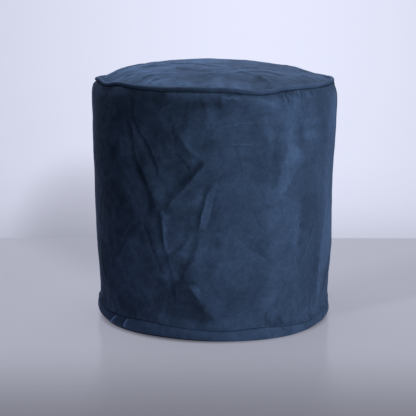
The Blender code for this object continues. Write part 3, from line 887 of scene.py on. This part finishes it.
crumple = wobbles(places, (0.45, 60, 31), (0.28, 24, 32), (0.12, 9, 33))
for swell in WALL_SWELLS:
    turn = swell.turns * azimuth + swell.phase + 360 * swell.rises * height / SEAM_HEIGHT
    crumple += swell.size * np.sin(np.radians(turn))

seam_line = WALL_SEAM_AZIMUTH + SEAM_WANDER * np.sin(height * SEAM_WAVES + 0.6)
beside_seam = (azimuth - seam_line) * DEGREE_MM / SEAM_HALF_WIDTH_MM
seam_groove = SEAM_GROOVE_MM / (1 + beside_seam**2)

clear = smoothstep((height - FOLDS_FROM) / FOLDS_COME)
clear *= smoothstep((FOLDS_TO - height) / FOLDS_GO)
wall_relief = clear * (wall_folds + crumple - seam_groove) - puckers
print("wall relief from %.1f to %.1f mm" % (wall_relief.min(), wall_relief.max()))

# %% Its rings
SEAM_FOLLOWED_FROM, SEAM_FOLLOWED_OVER = 0.300, 0.085  # where the cloth rises with the seam
BAND_FOLLOWED_TO, BAND_FOLLOWED_OVER = 0.035, 0.060  # and where it still rises with the band
LIP_HEIGHT, LIP_HALF, LIP_SEWN = 0.4066, 0.0022, 0.001  # it is sewn down at its inner edge

radius = column(WALL_SECTION, "height", "radius", height)
radius = radius + out_of_round(azimuth, height) + wall_relief / 1000
with_seam = smoothstep((height - SEAM_FOLLOWED_FROM) / SEAM_FOLLOWED_OVER)
with_band = np.clip((height - WALL_BOTTOM) / (IN_BAND_TOP - WALL_BOTTOM), 0, 1)
with_band *= 1 - smoothstep((height - BAND_FOLLOWED_TO) / BAND_FOLLOWED_OVER)
lip = round_drum(CRUSH, "lip", azimuth) / 1000 * np.exp(-(((height - LIP_HEIGHT) / LIP_HALF) ** 2))
lip *= smoothstep((WALL_TOP - height) / LIP_SEWN)
raised = uneven("seam", azimuth) * with_seam + uneven("height", azimuth) * with_band + lip
wall_rings = at(azimuth, radius, height + raised)
print("the lip is %.1f mm at most" % (lip.max() * 1000))

# %% Its pile, and its skin
strokes = [*WALL_STROKES, *seeded_strokes(70, 5)]
strokes = [stroke._replace(x=stroke.x * DEGREE_MM) for stroke in strokes]
patches = [patch._replace(corners=in_mm(patch.corners)) for patch in WALL_PATCHES]
frayed_x = strayed_x + wobbles(places, (4, 15, 6), (1.6, 6, 8))
from_front_x = np.where(azimuth > 180, frayed_x - 360 * DEGREE_MM, frayed_x)

wall_tones = stroke_tone(strokes, frayed_x, strayed_y)
wall_tones += patch_tone(patches, from_front_x, strayed_y)
# the folds' painted highlights and shade, and painted shade in the puckers
wall_tones += wall_fold_shading - PUCKER_SHADE * puckers
wall_tones += round_drum(CRUSH, "share", azimuth) * crushed(places, 80)
wall = skin("velvet_wall", wall_rings, wall_tones, (at(0, 0, WALL_BOTTOM), at(0, 0, WALL_TOP)))

# %% [markdown]
# ## The top
# The top is a round of cloth over a crown of filling, flatter than a dome and steeper at its
# rim. It is built of rings too, from its edge behind the piping to its middle. Its folds lie
# in front, where sitting has pushed the filling back: one long roll, and a fan at the left. At
# the back they are made up. Near the rim it gets painted shade, darkest at the front, as
# measured, and its folds get painted highlights and shade.

# %% The top's folds and strokes, in millimetres: x to the right, y to the back
TOP_ROLL = ((34, -103), (14, -127), (-2, -133), (-33, -125), (-90, -113), (-122, -104))
TOP_CREASES = rows(
    CREASE,
    # in front
    (2.4, 12, 24, 1.6, TOP_ROLL),
    (0.9, 14, 22, 0.3, ((22, -118), (38, -101), (54, -103), (73, -121), (87, -141), (97, -162))),
    (1.3, 12, 18, 0.6, ((30, -104), (64, -91), (90, -86), (120, -90))),
    (-1.8, 9, 12, 0, ((-66, -74), (-35, -101), (-10, -116))),
    (1.4, 10, 18, 0.8, ((-90, -22), (-36, -19), (-2, -51), (28, -68))),
    (1.3, 9, 14, 0.6, ((-136, -38), (-107, -34), (-60, -38))),
    (-1.2, 9, 12, 0, ((34, -76), (70, -66), (118, -60))),
    # the fan at the left edge
    (1.8, 8, 14, 1, ((-190, -66), (-173, -48), (-160, -32), (-138, -18))),
    (2, 7, 13, 1.2, ((-168, -112), (-149, -86), (-130, -78))),
    (1.8, 7, 12, 1, ((-134, -144), (-116, -118), (-93, -114))),
    (1.4, 6, 10, 0.8, ((-114, -160), (-99, -138), (-84, -133))),
    (-1.3, 7, 9, 0, ((-180, -86), (-160, -66), (-140, -56))),
    # the right edge
    (1.6, 8, 13, 1, ((192, -34), (168, -18), (138, -12))),
    (1.5, 8, 12, 0.8, ((180, -80), (156, -62), (130, -56))),
    (1.2, 7, 10, 0.6, ((150, -126), (134, -108), (118, -104))),
    # the back
    (1.8, 14, 22, 0.8, ((92, 30), (20, 44), (-62, 50))),
    (-1.8, 13, 18, 0, ((66, 0), (110, 22), (152, 50))),
    (1.8, 12, 20, 0.8, ((116, 38), (144, 62), (172, 92))),
    (-1.2, 20, 24, 0, ((-104, 98), (-50, 116), (4, 130))),
    (-3.4, 28, 34, 0, ((4, 137), (60, 126), (126, 110))),
    (1.5, 10, 16, 0.8, ((-40, 184), (-58, 150), (-90, 128))),
    (1.5, 10, 16, 0.8, ((-150, 112), (-124, 88), (-96, 84))),
    (1.4, 10, 16, 0.8, ((-186, 40), (-150, 34), (-118, 44))),
)
# painted highlights along the roll and its folds, painted shade beside them and at the front rim,
# and the pile's own tone
TOP_STROKES = rows(
    STROKE,
    (0, -145, 20, 80, 0, -0.16),
    (0, -30, 34, 36, 0, -0.17),
    (62, -28, 30, 28, 0, -0.09),
    (130, -118, 26, 28, 0, -0.13),
    (0, -120, 18, 36, 0, 0.1),
    (-130, -30, 30, 32, 0, 0.1),
    (-62, -28, 26, 24, 0, 0.08),
    (-60, -112, 70, 7, 94, 0.2),
    (40, -98, 30, 8, 70, 0.2),
    (-150, -40, 30, 16, 40, 0.15),
    (-40, 60, 90, 30, 90, 0.12),
    (-90, -20, 50, 14, 90, -0.15),
    (-30, -95, 40, 9, 110, -0.2),
    (60, -140, 50, 20, 90, -0.25),
    (110, -110, 50, 22, 70, -0.12),
    (100, -20, 70, 30, 90, -0.12),
    (10, -165, 60, 12, 90, -0.15),
    (-80, -150, 24, 12, 60, 0.12),
    (120, 60, 50, 30, 60, -0.1),
    (30, 120, 60, 16, 90, 0.12),
    (-110, 90, 40, 20, 30, -0.12),
    (120, -50, 110, 60, 0, -0.16),
    (-100, -60, 90, 60, 0, 0.07),
)
print(len(TOP_CREASES), "folds on the top")

# %% Places on the top
TOP_AROUND, TOP_RINGS = 420, 118
INNERMOST, CLOSER_IN = 0.006, 0.93  # the innermost ring's share, and how the rings close up
RIM = rows(
    # top: painted shade near the top's rim; piping: painted light and shade along the cord
    "azimuth power top piping",  # the crown's power, then the tones of the rim and the cord
    (-180, 3.6, -0.1, 0),
    (-130, 3.9, -0.1, 0.5),
    (-95, 4, -0.2, 0.3),
    (-60, 3.5, -0.35, 0.55),
    (-42, 3.4, -0.38, 0.45),
    (-25, 3.3, -0.4, 0.1),
    (-5, 3.3, -0.35, -0.05),
    (10, 3.3, -0.2, 0.15),
    (35, 3.3, -0.05, 0.45),
    (75, 3.3, 0, 0.4),
    (110, 3.8, -0.1, 0.5),
    (180, 3.6, -0.1, 0),
)
shares = np.linspace(1.0, INNERMOST, TOP_RINGS) ** CLOSER_IN
turn, share = np.meshgrid(np.arange(TOP_AROUND) * 360.0 / TOP_AROUND, shares)
rim = PIPING_SEAT - PIPING_RADIUS - GAP + out_of_round(turn, SEAM_HEIGHT)
from_rim = (1 - share) * rim * 1000
flat = at(turn, share * rim, 0.0)
strayed = (
    flat[..., 0] * 1000 + wobbles(flat, (2.5, 34, 41)),
    flat[..., 1] * 1000 + wobbles(flat, (2.5, 34, 42)),
)
print("top grid:", turn.shape)

# %% Its crown, folds and gathers
RIM_MM = 20.0  # how far in from the rim its folds come up to their full height
TOP_GATHERS = 0.8  # as tight as this many of the wall's

top_relief, top_fold_shading = folds(TOP_CREASES, *strayed)
top_relief += wobbles(flat, (0.50, 60, 43), (0.28, 22, 44), (0.12, 9, 45))
top_relief *= smoothstep(from_rim / RIM_MM)
top_relief -= TOP_GATHERS * gathers(turn, from_rim, 50) * smoothstep(from_rim / 2.0)

crown = CROWN_RISE * (1 - share ** round_drum(RIM, "power", turn))
crown -= CROWN_LEAN * flat[..., 0] / PIPING_SEAT * (1 - share**4)
crown += SEAM_HEIGHT + uneven("seam", turn) * share**2 + top_relief / 1000
print("the crown is %.1f mm high" % (crown.max() * 1000))

# %% Its pile, and its skin
# the folds' painted highlight and shade, and the crushed pile, against the wall's
FOLD_SHADING, CRUSHED_TONE = 1.3, 1.1  # against the wall's
# how far in from the rim its painted shade reaches
RIM_TONE_MM = 8

top_tones = stroke_tone(TOP_STROKES, *strayed) + FOLD_SHADING * top_fold_shading
top_tones += CRUSHED_TONE * crushed(flat, 90)
# painted shade near the rim, darkest at the front
top_tones += round_drum(RIM, "top", turn) * np.exp(-((from_rim / RIM_TONE_MM) ** 2))
underside = seam_height(turn[:1]) - PIPING_RADIUS
radii, heights = np.concatenate([rim[:1], share * rim]), np.concatenate([underside, crown])
top_rings = at(turn[:1], radii, heights)
ends = (at(0, 0, SEAM_HEIGHT - PIPING_RADIUS), at(0, 0, crown[-1].mean()))
top = skin("velvet_top", top_rings, np.concatenate([top_tones[:1], top_tones]), ends)

# %% [markdown]
# ## The piping
# Piping is a cord in a folded strip of cloth. A maker cuts the strip on the bias, so it goes
# round without cockling, but it still twists a little, and it pinches at each stitch. A ring
# of small circles gives it, with the pinches as a ripple in their radius.

# %% The piping's skin
PIPING_AROUND, PIPING_SIDES = 640, 16
STITCH_MM = 3.2
PINCH_MM = 0.12
THINNER_MM, THICKEST_MM = 0.10, 0.15  # than the part's cord, in the middle and at the most

turn, side = np.meshgrid(
    np.arange(PIPING_AROUND) * 360.0 / PIPING_AROUND, np.arange(PIPING_SIDES) * 360.0 / PIPING_SIDES
)
seat = PIPING_SEAT + out_of_round(turn, SEAM_HEIGHT)
stitches = round(2 * math.pi * PIPING_SEAT * 1000 / STITCH_MM)
pinch = PINCH_MM * np.cos(np.radians(turn) * stitches + np.radians(side))
cord = at(turn, seat, SEAM_HEIGHT)
ridge = 0.15 * wobble(cord + np.sin(np.radians(side))[..., None] * 0.004, 7, 63)
thick = PIPING_RADIUS * 1000 - THINNER_MM + pinch + ridge
thick += wobbles(cord, (0.22, 14, 61), (0.12, 6, 62))
thick = np.minimum(thick, PIPING_RADIUS * 1000 + THICKEST_MM) / 1000
bob = 0.0005 * wobble(cord, 40, 64)
piping_rings = at(
    turn,
    seat - thick * np.cos(np.radians(side)),
    seam_height(turn) + bob + thick * np.sin(np.radians(side)),
)
# painted light and shade along the cord, changing round the drum
piping_tones = round_drum(RIM, "piping", turn)
piping_tones += 0.12 * wobble(cord, 30, 65) + 0.10 * wobble(piping_rings, 8, 66)
piping = skin("velvet_piping", piping_rings[::-1], piping_tones[::-1])

# %% [markdown]
# ## The foot band
# The band is a doubled strip sewn over the wall's lower edge, a little fuller than the wall.
# Its section is a closed loop, from its lower inside corner round the outside and back. It is
# pinched into small tucks in front and ripples where the cloth was eased in, and at its sides
# the lower edge is rounded in and clear of the floor.

# %% The band's section, lower edge and tucks
BAND_SECTION = rows(
    "radius share loose",  # share of the band's height, and how freely the cloth moves there
    (BASE_RADIUS + 2 * GAP, 0, 0),
    (0.1948, -0.04, 0.5),
    (0.1985, -0.05, 1),
    (0.2008, 0.1, 1),
    (FOOT_RADIUS + BAND_BULGE, 0.42, 1),
    (0.2002, 0.84, 1),
    (0.1988, 0.95, 0.3),
    (0.1966, 0.98, 0),
    (IN_BAND_RADIUS + GAP, 0.92, 0),
    (IN_BAND_RADIUS + GAP, 0.24, 0),
)
BAND_OUTSIDE = 6  # the row of the section where its outside ends
FOOT = rows(
    "azimuth tucked lift",  # how far the lower edge goes in and up, in mm
    (-180, 3, 0),
    (-90, 6, 1.5),
    (-60, 6, 1.5),
    (-35, 2.5, 0.3),
    (0, 1, 0),
    (35, 2, 0.2),
    (62, 5.5, 1.2),
    (90, 6, 1.5),
    (180, 3, 0),
)
BAND_TUCKS = rows(
    # light: how strong each tuck's painted highlight and shade are
    "azimuth slant rise steep gentle light",  # degrees, then millimetres, then a tone
    (-57.5, 3, 2.2, 4, 5, 1.9),
    (-47.5, 1.5, 2.4, 3, 6, 1.7),
    (27, -1, -0.7, 4, 5, 0.3),
    (35.5, -3.5, -0.8, 4, 5, 0.3),
    (66, 2, 1.2, 8, 10, 0.5),
    (118, -2, 1.5, 5, 8, 0.5),
    (150, 2, 2, 5, 9, 0.6),
    (184, -3, 1.2, 5, 8, 0.5),
    (215, 2.5, 1.8, 5, 9, 0.6),
    (248, -2, 1.2, 5, 8, 0.5),
)
TUCK_DIP = 0.5
TUCK_FROM, TUCK_TO = 2.0, 23.0  # mm up the band
print(len(BAND_TUCKS), "tucks in the band")

# %% The band's ripples and tucks
BAND_AROUND, BAND_ROWS = 640, 26
BAND_GATHERS = 0.45

knots = np.arange(len(BAND_SECTION))
along = np.concatenate([np.linspace(0, BAND_OUTSIDE, BAND_ROWS), knots[BAND_OUTSIDE + 1 :]])
turn, along = np.meshgrid(np.arange(BAND_AROUND) * 360.0 / BAND_AROUND - 90, along)
radius, share, loose = (
    through(knots, [getattr(row, name) for row in BAND_SECTION], along)
    for name in ("radius", "share", "loose")
)
around = at(turn, FOOT_RADIUS, share * BAND_HEIGHT)
up_mm = share * BAND_HEIGHT * 1000

ripple = wobbles(around, (0.35, 26, 71), (0.25, 10, 72), (0.12, 5, 73))
ripple -= BAND_GATHERS * gathers(turn, BAND_HEIGHT * 1000 - up_mm, 75)
tuck_shading = np.zeros(turn.shape)
for tuck in BAND_TUCKS:
    path = in_mm([(tuck.azimuth + tuck.slant, TUCK_TO), (tuck.azimuth - tuck.slant, TUCK_FROM)])
    crease = rows(CREASE, (tuck.rise, tuck.steep, tuck.gentle, TUCK_DIP, path))
    relief, tone = folds(crease, turn * DEGREE_MM, up_mm)
    ripple += relief
    tuck_shading += tuck.light * tone / CREST_HIGHLIGHT
print("the band ripples from %.1f to %.1f mm" % (ripple.min(), ripple.max()))

# %% The band's skin
ROUNDED_SHARE = 0.55  # how much of the band's height is rounded in

loose = np.clip(loose, 0, 1)
tucked, lift = (round_drum(FOOT, name, turn) / 1000 for name in ("tucked", "lift"))
upper = BAND_HEIGHT + uneven("height", turn)
lower = WALL_BOTTOM + loose * (uneven("lift", turn) + lift)
out = radius + out_of_round(turn, 0) + loose * ripple / 1000
out -= loose * tucked * np.clip(1 - share / ROUNDED_SHARE, 0, 1) ** 2
band_rings = at(turn, out, lower + (upper - lower) * share)
# the tucks add their painted highlight and shade to the band's random tone
band_tones = wobbles(around, (0.15, 30, 76), (0.10, 11, 77)) + tuck_shading
band = skin("velvet_band", band_rings, band_tones)

# %% [markdown]
# ## Finishes
# A finish is a small network of shader nodes. To write one as a formula, a class wraps the
# socket that a value comes out of, and its operators add the Math nodes. Its make method adds
# any other node. Colours aren't numbers, so they go through Mix and Vector Math instead.

# %% A socket that can be reckoned with


def set_stops(ramp, stops):
    """Gives a colour ramp these stops, each a position and a colour."""
    while len(ramp.elements) < len(stops):
        ramp.elements.new(0.5)
    for element, (position, colour) in zip(ramp.elements, stops):
        element.position, element.color = position, colour


class Socket:
    """A value in a material. Arithmetic on it adds Math nodes."""

    def __init__(self, material, output=None):
        self.material, self.output = material, output

    def make(self, kind, settings, sockets, output=0):
        """Adds a node of this kind, with its settings and its sockets' values or links."""
        node = self.material.node_tree.nodes.new(kind)
        for name, value in settings.items():
            if name == "stops":
                set_stops(node.color_ramp, value)
            else:
                setattr(node, name, value)
        for name, value in sockets.items():
            if isinstance(value, Socket):
                self.material.node_tree.links.new(value.output, node.inputs[name])
            else:
                node.inputs[name].default_value = value
        return Socket(self.material, node.outputs[output] if node.outputs else None)

    def reckon(self, operation, first, second):
        return self.make("ShaderNodeMath", {"operation": operation}, {0: first, 1: second})

    def __add__(self, other):
        return self.reckon("ADD", self, other)

    def __radd__(self, other):
        return self.reckon("ADD", other, self)

    def __sub__(self, other):
        return self.reckon("SUBTRACT", self, other)

    def __rsub__(self, other):
        return self.reckon("SUBTRACT", other, self)

    def __mul__(self, other):
        return self.reckon("MULTIPLY", self, other)

    def __rmul__(self, other):
        return self.reckon("MULTIPLY", other, self)

    def __abs__(self):
        return self.reckon("ABSOLUTE", self, 0.0)

    def fade(self, near, far, first=0.0, last=1.0):
        """A smooth change from first to last, as the value goes from near to far."""
        steps = {0: self, 1: near, 2: far, 3: first, 4: last}
        return self.make("ShaderNodeMapRange", {"interpolation_type": "SMOOTHSTEP"}, steps)


print("finishes are made with", Socket.__name__)

# %% What the finishes share


def new_finish(name):
    """An empty material, and a socket to begin its formula from."""
    material = bpy.data.materials.new(name)
    material.use_nodes = True
    material.node_tree.nodes.clear()
    return material, Socket(material)


def noise_of(start, place, size_mm, detail=3.0, rough=0.55, bend=0.0):
    """Noise from 0 to 1 with patches of about this size."""
    sockets = {"Vector": place, "Scale": 1000 / size_mm, "Detail": detail, "Roughness": rough}
    sockets["Distortion"] = bend
    return start.make("ShaderNodeTexNoise", {"noise_dimensions": "3D"}, sockets)


def scaled(start, colour, scale):
    """A colour made lighter or darker by a value."""
    sockets = {"Vector": colour, "Scale": scale}
    return start.make("ShaderNodeVectorMath", {"operation": "SCALE"}, sockets)


def principled(start, sockets):
    """Ends a finish in the Principled shader, with these values and links."""
    shader = start.make("ShaderNodeBsdfPrincipled", {}, sockets)
    start.make("ShaderNodeOutputMaterial", {}, {"Surface": shader})


print("they share", noise_of.__name__, scaled.__name__, "and", principled.__name__)

# %% [markdown]
# ## Velvet
# Velvet is dark where one looks down into its pile and bright where the pile's sides catch the
# light. The Principled shader's sheen gives that bright edge. The colour is one dark blue that
# the pile's tone and a mottling at three sizes make lighter or darker: hand-sized clouds,
# finger marks, and the speckle of crushed pile. The pile's tone also holds painted highlights
# and painted shade, and each piece gets its own painted brightness, the top lighter and the
# piping darker than the wall. A fine bump gives the pile itself.

# %% The velvet
VELVET_BLUE = (0.0400, 0.0700, 0.1350)
SHEEN_BLUE = (0.38, 0.58, 1.00)


def velvet(name, brightness, mottle):
    """The blue velvet, with this much painted brightness and this much mottling."""
    material, start = new_finish(name)
    place = start.make("ShaderNodeTexCoord", {}, {}, "Object")
    tone = start.make("ShaderNodeAttribute", {"attribute_name": "pile_tone"}, {}, "Fac")
    clouds = noise_of(start, place, 46, detail=3, bend=1.2)
    marks = noise_of(start, place, 15, detail=4, rough=0.62, bend=1.6)
    speckle = noise_of(start, place, 4.5, detail=3, rough=0.7)
    pile = noise_of(start, place, 1.3, detail=2)
    mottling = (clouds - 0.5) * 0.3 + (marks - 0.5) * 1.0 + (speckle - 0.5) * 1.2
    light = tone * brightness * (1 + mottle * mottling) * (0.85 + 0.3 * pile)
    crush = marks * 0.5 + speckle * 0.35 + pile * 0.25
    bump = {"Height": crush, "Distance": 0.0006, "Strength": 0.55}
    finish = {
        "Base Color": scaled(start, VELVET_BLUE, light),
        "Roughness": 0.85,
        "Specular IOR Level": 0.08,
        "Sheen Weight": 0.10,
        "Sheen Roughness": 0.30,
        "Sheen Tint": (*SHEEN_BLUE, 1.0),
        "Normal": start.make("ShaderNodeBump", {}, bump),
    }
    principled(start, finish)
    return material


print("velvet colour:", VELVET_BLUE)

# %% Dress the soft pieces
DRESSED = rows(
    # each piece's brightness is painted light and shade: the top is lighter and the piping darker
    # than the wall, as copies of one velvet
    "piece node slot brightness mottle fill",
    (wall, "wall_panel", "wall_velvet", 1.00, 0.55, 0.85),
    (top, "top_panel", "top_velvet", 1.30, 0.45, 0.80),
    (piping, "piping", "piping_velvet", 0.80, 0.35, 1.00),
    (band, "foot_band", "band_velvet", 0.95, 0.40, 0.50),
)
for dressed in DRESSED:
    finish = velvet(dressed.slot.replace("_", " "), dressed.brightness, dressed.mottle)
    dressed.piece.data.materials.append(finish)
    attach(dressed.piece, "root")
    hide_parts(dressed.node)
    print(dressed.piece.name, "stands for", dressed.node)

# %% [markdown]
# ## The base
# Only a dark line of the base shows under the band, but it is the first thing seen when the
# stool is picked up. Its shape is right as the part has it, so it keeps its mesh and gets a
# plain-woven dark cloth: two wave patterns at right angles, one for the warp and one for the
# weft, whose product is the weave's little squares.

# %% The base cloth
BASE_DARK = (0.010, 0.011, 0.014, 1.0)
BASE_LIGHT = (0.022, 0.024, 0.029, 1.0)
WEAVE_MM = 1.1


def base_cloth():
    material, start = new_finish("base cloth")
    place = start.make("ShaderNodeTexCoord", {}, {}, "Object")
    waves = {"Vector": place, "Scale": 1000 / WEAVE_MM / 6.28, "Distortion": 0.6}
    warp, weft = (
        start.make("ShaderNodeTexWave", {"bands_direction": direction}, waves, "Fac")
        for direction in ("X", "Y")
    )
    weave = warp * weft
    wear = noise_of(start, place, 40, detail=4)
    mix = {"Factor": 0.6 * weave + 0.5 * wear - 0.1, 6: BASE_DARK, 7: BASE_LIGHT}
    bump = {"Height": weave, "Distance": 0.0003, "Strength": 0.7}
    finish = {
        "Base Color": start.make("ShaderNodeMix", {"data_type": "RGBA"}, mix, 2),
        "Roughness": 0.9,
        "Specular IOR Level": 0.2,
        "Normal": start.make("ShaderNodeBump", {}, bump),
    }
    principled(start, finish)
    return material


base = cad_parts["base_panel"]
base.data.materials.clear()
base.data.materials.append(base_cloth())
print(base.name, "has", base.data.materials[0].name)

# %% [markdown]
# ## The table top
# The stool stands on a pale table top inside a large tent of cloth, whose even light leaves
# hardly a shadow. Lamps can't give that without flattening the stool as well, so the table
# glows a little by itself, and the three things that darken it are drawn in its finish: the
# line of contact, the two broad soft shadows, and its edge nearest the camera. It is polished
# at the back, where it mirrors the backdrop, and duller in front.

# %% The table's finish
TABLE_GREY = (0.12, 0.12, 0.14, 1.0)
TABLE_GLOW = (0.280, 0.287, 0.349)
# each of these is two places, and what the table has at the first and the second
FRONT_EDGE = (-0.64, -0.20, 0.36, 1.0)  # how bright it is, by how far back
CONTACT = (0.186, 0.208, 0.30, 1.0)  # how bright, by how far from the middle
# painted light: the table a little brighter close round the foot
AROUND_FOOT = (0.24, 0.46, 1.06, 1.0)
POLISH = (-0.60, -0.24, 0.40, 0.13)  # how rough, by how far back
SHADOWS = rows(
    # which way it falls, where it begins and ends across that way, and how far it takes to
    # become as dark as this
    "towards rises full falls gone reach dark",
    ((-0.43, 0.9), -0.17, -0.03, 0.03, 0.17, 0.6, 0.22),
    ((0.75, 0.66), -0.12, 0.06, 0.14, 0.19, 0.2, 0.13),
)


def table_finish():
    material, start = new_finish("table top")
    place = start.make("ShaderNodeTexCoord", {}, {}, "Object")
    dust = noise_of(start, place, 9, detail=4)
    side, back = (start.make("ShaderNodeSeparateXYZ", {}, {"Vector": place}, name) for name in "XY")
    from_middle = start.make("ShaderNodeVectorMath", {"operation": "LENGTH"}, {0: place}, "Value")
    brightness = (0.985 + 0.03 * dust) * back.fade(*FRONT_EDGE)
    brightness = brightness * from_middle.fade(*CONTACT) * from_middle.fade(*AROUND_FOOT)
    for row in SHADOWS:
        along = side * row.towards[0] + back * row.towards[1]
        across = side * row.towards[1] - back * row.towards[0]
        width = across.fade(row.rises, row.full) * across.fade(row.falls, row.gone, 1.0, 0.0)
        brightness = brightness * (1 - row.dark * width * along.fade(0.05, row.reach))
    finish = {
        "Base Color": TABLE_GREY,
        "Roughness": back.fade(*POLISH) + 0.04 * dust,
        "Specular IOR Level": 0.025,
        "Emission Color": scaled(start, TABLE_GLOW, brightness),
        "Emission Strength": 1.0,
    }
    principled(start, finish)
    return material


print(len(SHADOWS), "soft shadows on the table")

# %% The table top
TABLE_HALF = 0.60
TABLE_THICK = 0.02

corners = [(x, y, z) for z in (-TABLE_THICK, 0) for y in (-1, 1) for x in (-1, 1)]
corners = [(x * TABLE_HALF, y * TABLE_HALF, z) for x, y, z in corners]
sides = [(0, 2, 3, 1), (4, 5, 7, 6), (0, 1, 5, 4), (1, 3, 7, 5), (3, 2, 6, 7), (2, 0, 4, 6)]
table_mesh = bpy.data.meshes.new("table_top")
table_mesh.from_pydata(corners, [], sides)
table_mesh.materials.append(table_finish())
table = bpy.data.objects.new("table_top", table_mesh)
bpy.context.scene.collection.objects.link(table)
table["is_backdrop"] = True
print("table top", 2 * TABLE_HALF, "m square")

# %% [markdown]
# ## The background
# Behind the table is a pale backdrop, lighter above and grey where it meets the table. It is
# the world's own colour, by the height that a direction points to, so it is there from every
# side. It is brightest behind the stool, with a soft shade to the left of it. Only the
# part behind the stool lights the scene, so that the stool keeps its dark side.

# %% The background, by height
BACKGROUND = rows(
    "degrees colour",  # degrees above level
    (-40, (0.32, 0.33, 0.4)),
    (-16, (0.46, 0.47, 0.57)),
    (-12.6, (0.56, 0.58, 0.7)),
    (-12, (0.635, 0.655, 0.79)),
    (-11, (0.73, 0.75, 0.91)),
    (-9.5, (0.78, 0.805, 0.97)),
    (-6, (0.8, 0.825, 0.995)),
    (90, (0.81, 0.835, 1)),
)
ROOM_LIGHT = 0.03  # how much of its brightness the room lends to the stool
BACKDROP = (0.45, 0.80)  # how far back a direction points, where the backdrop begins and is full
POOL_MIDDLE, POOL_HALF, POOL_EDGE = 0.03, 0.27, 0.75  # the brighter middle, by side
SHADE_AT = (-0.085, 1.0, -0.215)  # the direction of the shade
SHADE_NARROW = (22, 1, 20)  # how narrow it is, each way
SHADE_END, SHADE_LIGHT = 1.6, 0.70

world = bpy.data.worlds.new("studio")
world.use_nodes = True
world.node_tree.nodes.clear()
bpy.context.scene.world = world
start = Socket(world)
seen_directly = start.make("ShaderNodeLightPath", {}, {}, "Is Camera Ray")
direction = start.make("ShaderNodeTexCoord", {}, {}, "Generated")
parts = [start.make("ShaderNodeSeparateXYZ", {}, {"Vector": direction}, axis) for axis in "XYZ"]
to_side, backward, upward = parts

stops = [(0.5 + 0.5 * math.sin(math.radians(row.degrees)), (*row.colour, 1)) for row in BACKGROUND]
colour = start.make("ShaderNodeValToRGB", {"stops": stops}, {"Fac": upward * 0.5 + 0.5})
lit = backward.fade(*BACKDROP, ROOM_LIGHT, 1.0)
pool = abs(to_side - POOL_MIDDLE).fade(0.0, POOL_HALF, 1.0, POOL_EDGE)
from_shade = 0.0
for part, place, narrow in zip(parts, SHADE_AT, SHADE_NARROW):
    off = (part - place) * narrow
    from_shade = from_shade + off * off
shade = from_shade.fade(0.0, SHADE_END, SHADE_LIGHT, 1.0)
strength = lit.reckon("MAXIMUM", lit, seen_directly) * pool * shade
glow = start.make("ShaderNodeBackground", {}, {"Color": colour, "Strength": strength})
start.make("ShaderNodeOutputWorld", {}, {"Surface": glow})
print(len(BACKGROUND), "stops in the background")

# %% [markdown]
# ## The lights
# A wide soft light hangs over the stool and lights its top. The strongest stands at its right,
# so that the wall turns from light at the right to dark at the left, as in the photograph. A
# weak one behind the left lifts the far edge. Each is a large area light, because a large
# light has soft shadows. Only the one overhead shows in the table's gloss: the tent has no
# bright lamp that would leave a white patch there.

# %% Hang the lights
LIGHTS_AIM = (0, 0, 0.2)
LIGHTS = rows(
    "name place wide high watts",
    ("overhead", (-0.10, 0.20, 1.75), 1.3, 1.1, 23),
    ("behind", (-0.9, 2.0, 0.45), 1.0, 0.9, 5),
    ("right", (1.55, -1.58, 0.32), 1.8, 0.8, 38.6),
)
for row in LIGHTS:
    data = bpy.data.lights.new(row.name, "AREA")
    data.shape, data.size, data.size_y = "RECTANGLE", row.wide, row.high
    data.energy = row.watts
    light = bpy.data.objects.new(row.name, data)
    light.location = row.place
    light.visible_camera = False
    light.visible_glossy = row.name == "overhead"
    x, y, z = np.subtract(LIGHTS_AIM, row.place)
    light.rotation_euler = (math.atan2(math.hypot(x, y), -z), 0.0, math.atan2(x, -y) + math.pi)
    bpy.context.scene.collection.objects.link(light)
    print(row.name, "light:", row.watts, "W")

bpy.context.scene.view_settings.view_transform = "Standard"

# %% [markdown]
# ## Size
# The dressed stool has to be the size of the part. The two boxes are written side by side.

# %% Compare the sizes, and finish
dressed_box = [list(corner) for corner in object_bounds()]
for axis in range(3):
    part, now = (box[1][axis] - box[0][axis] for box in (cad_box, dressed_box))
    print("xyz"[axis], "part %.1f mm, dressed %.1f mm" % (part * 1000, now * 1000))
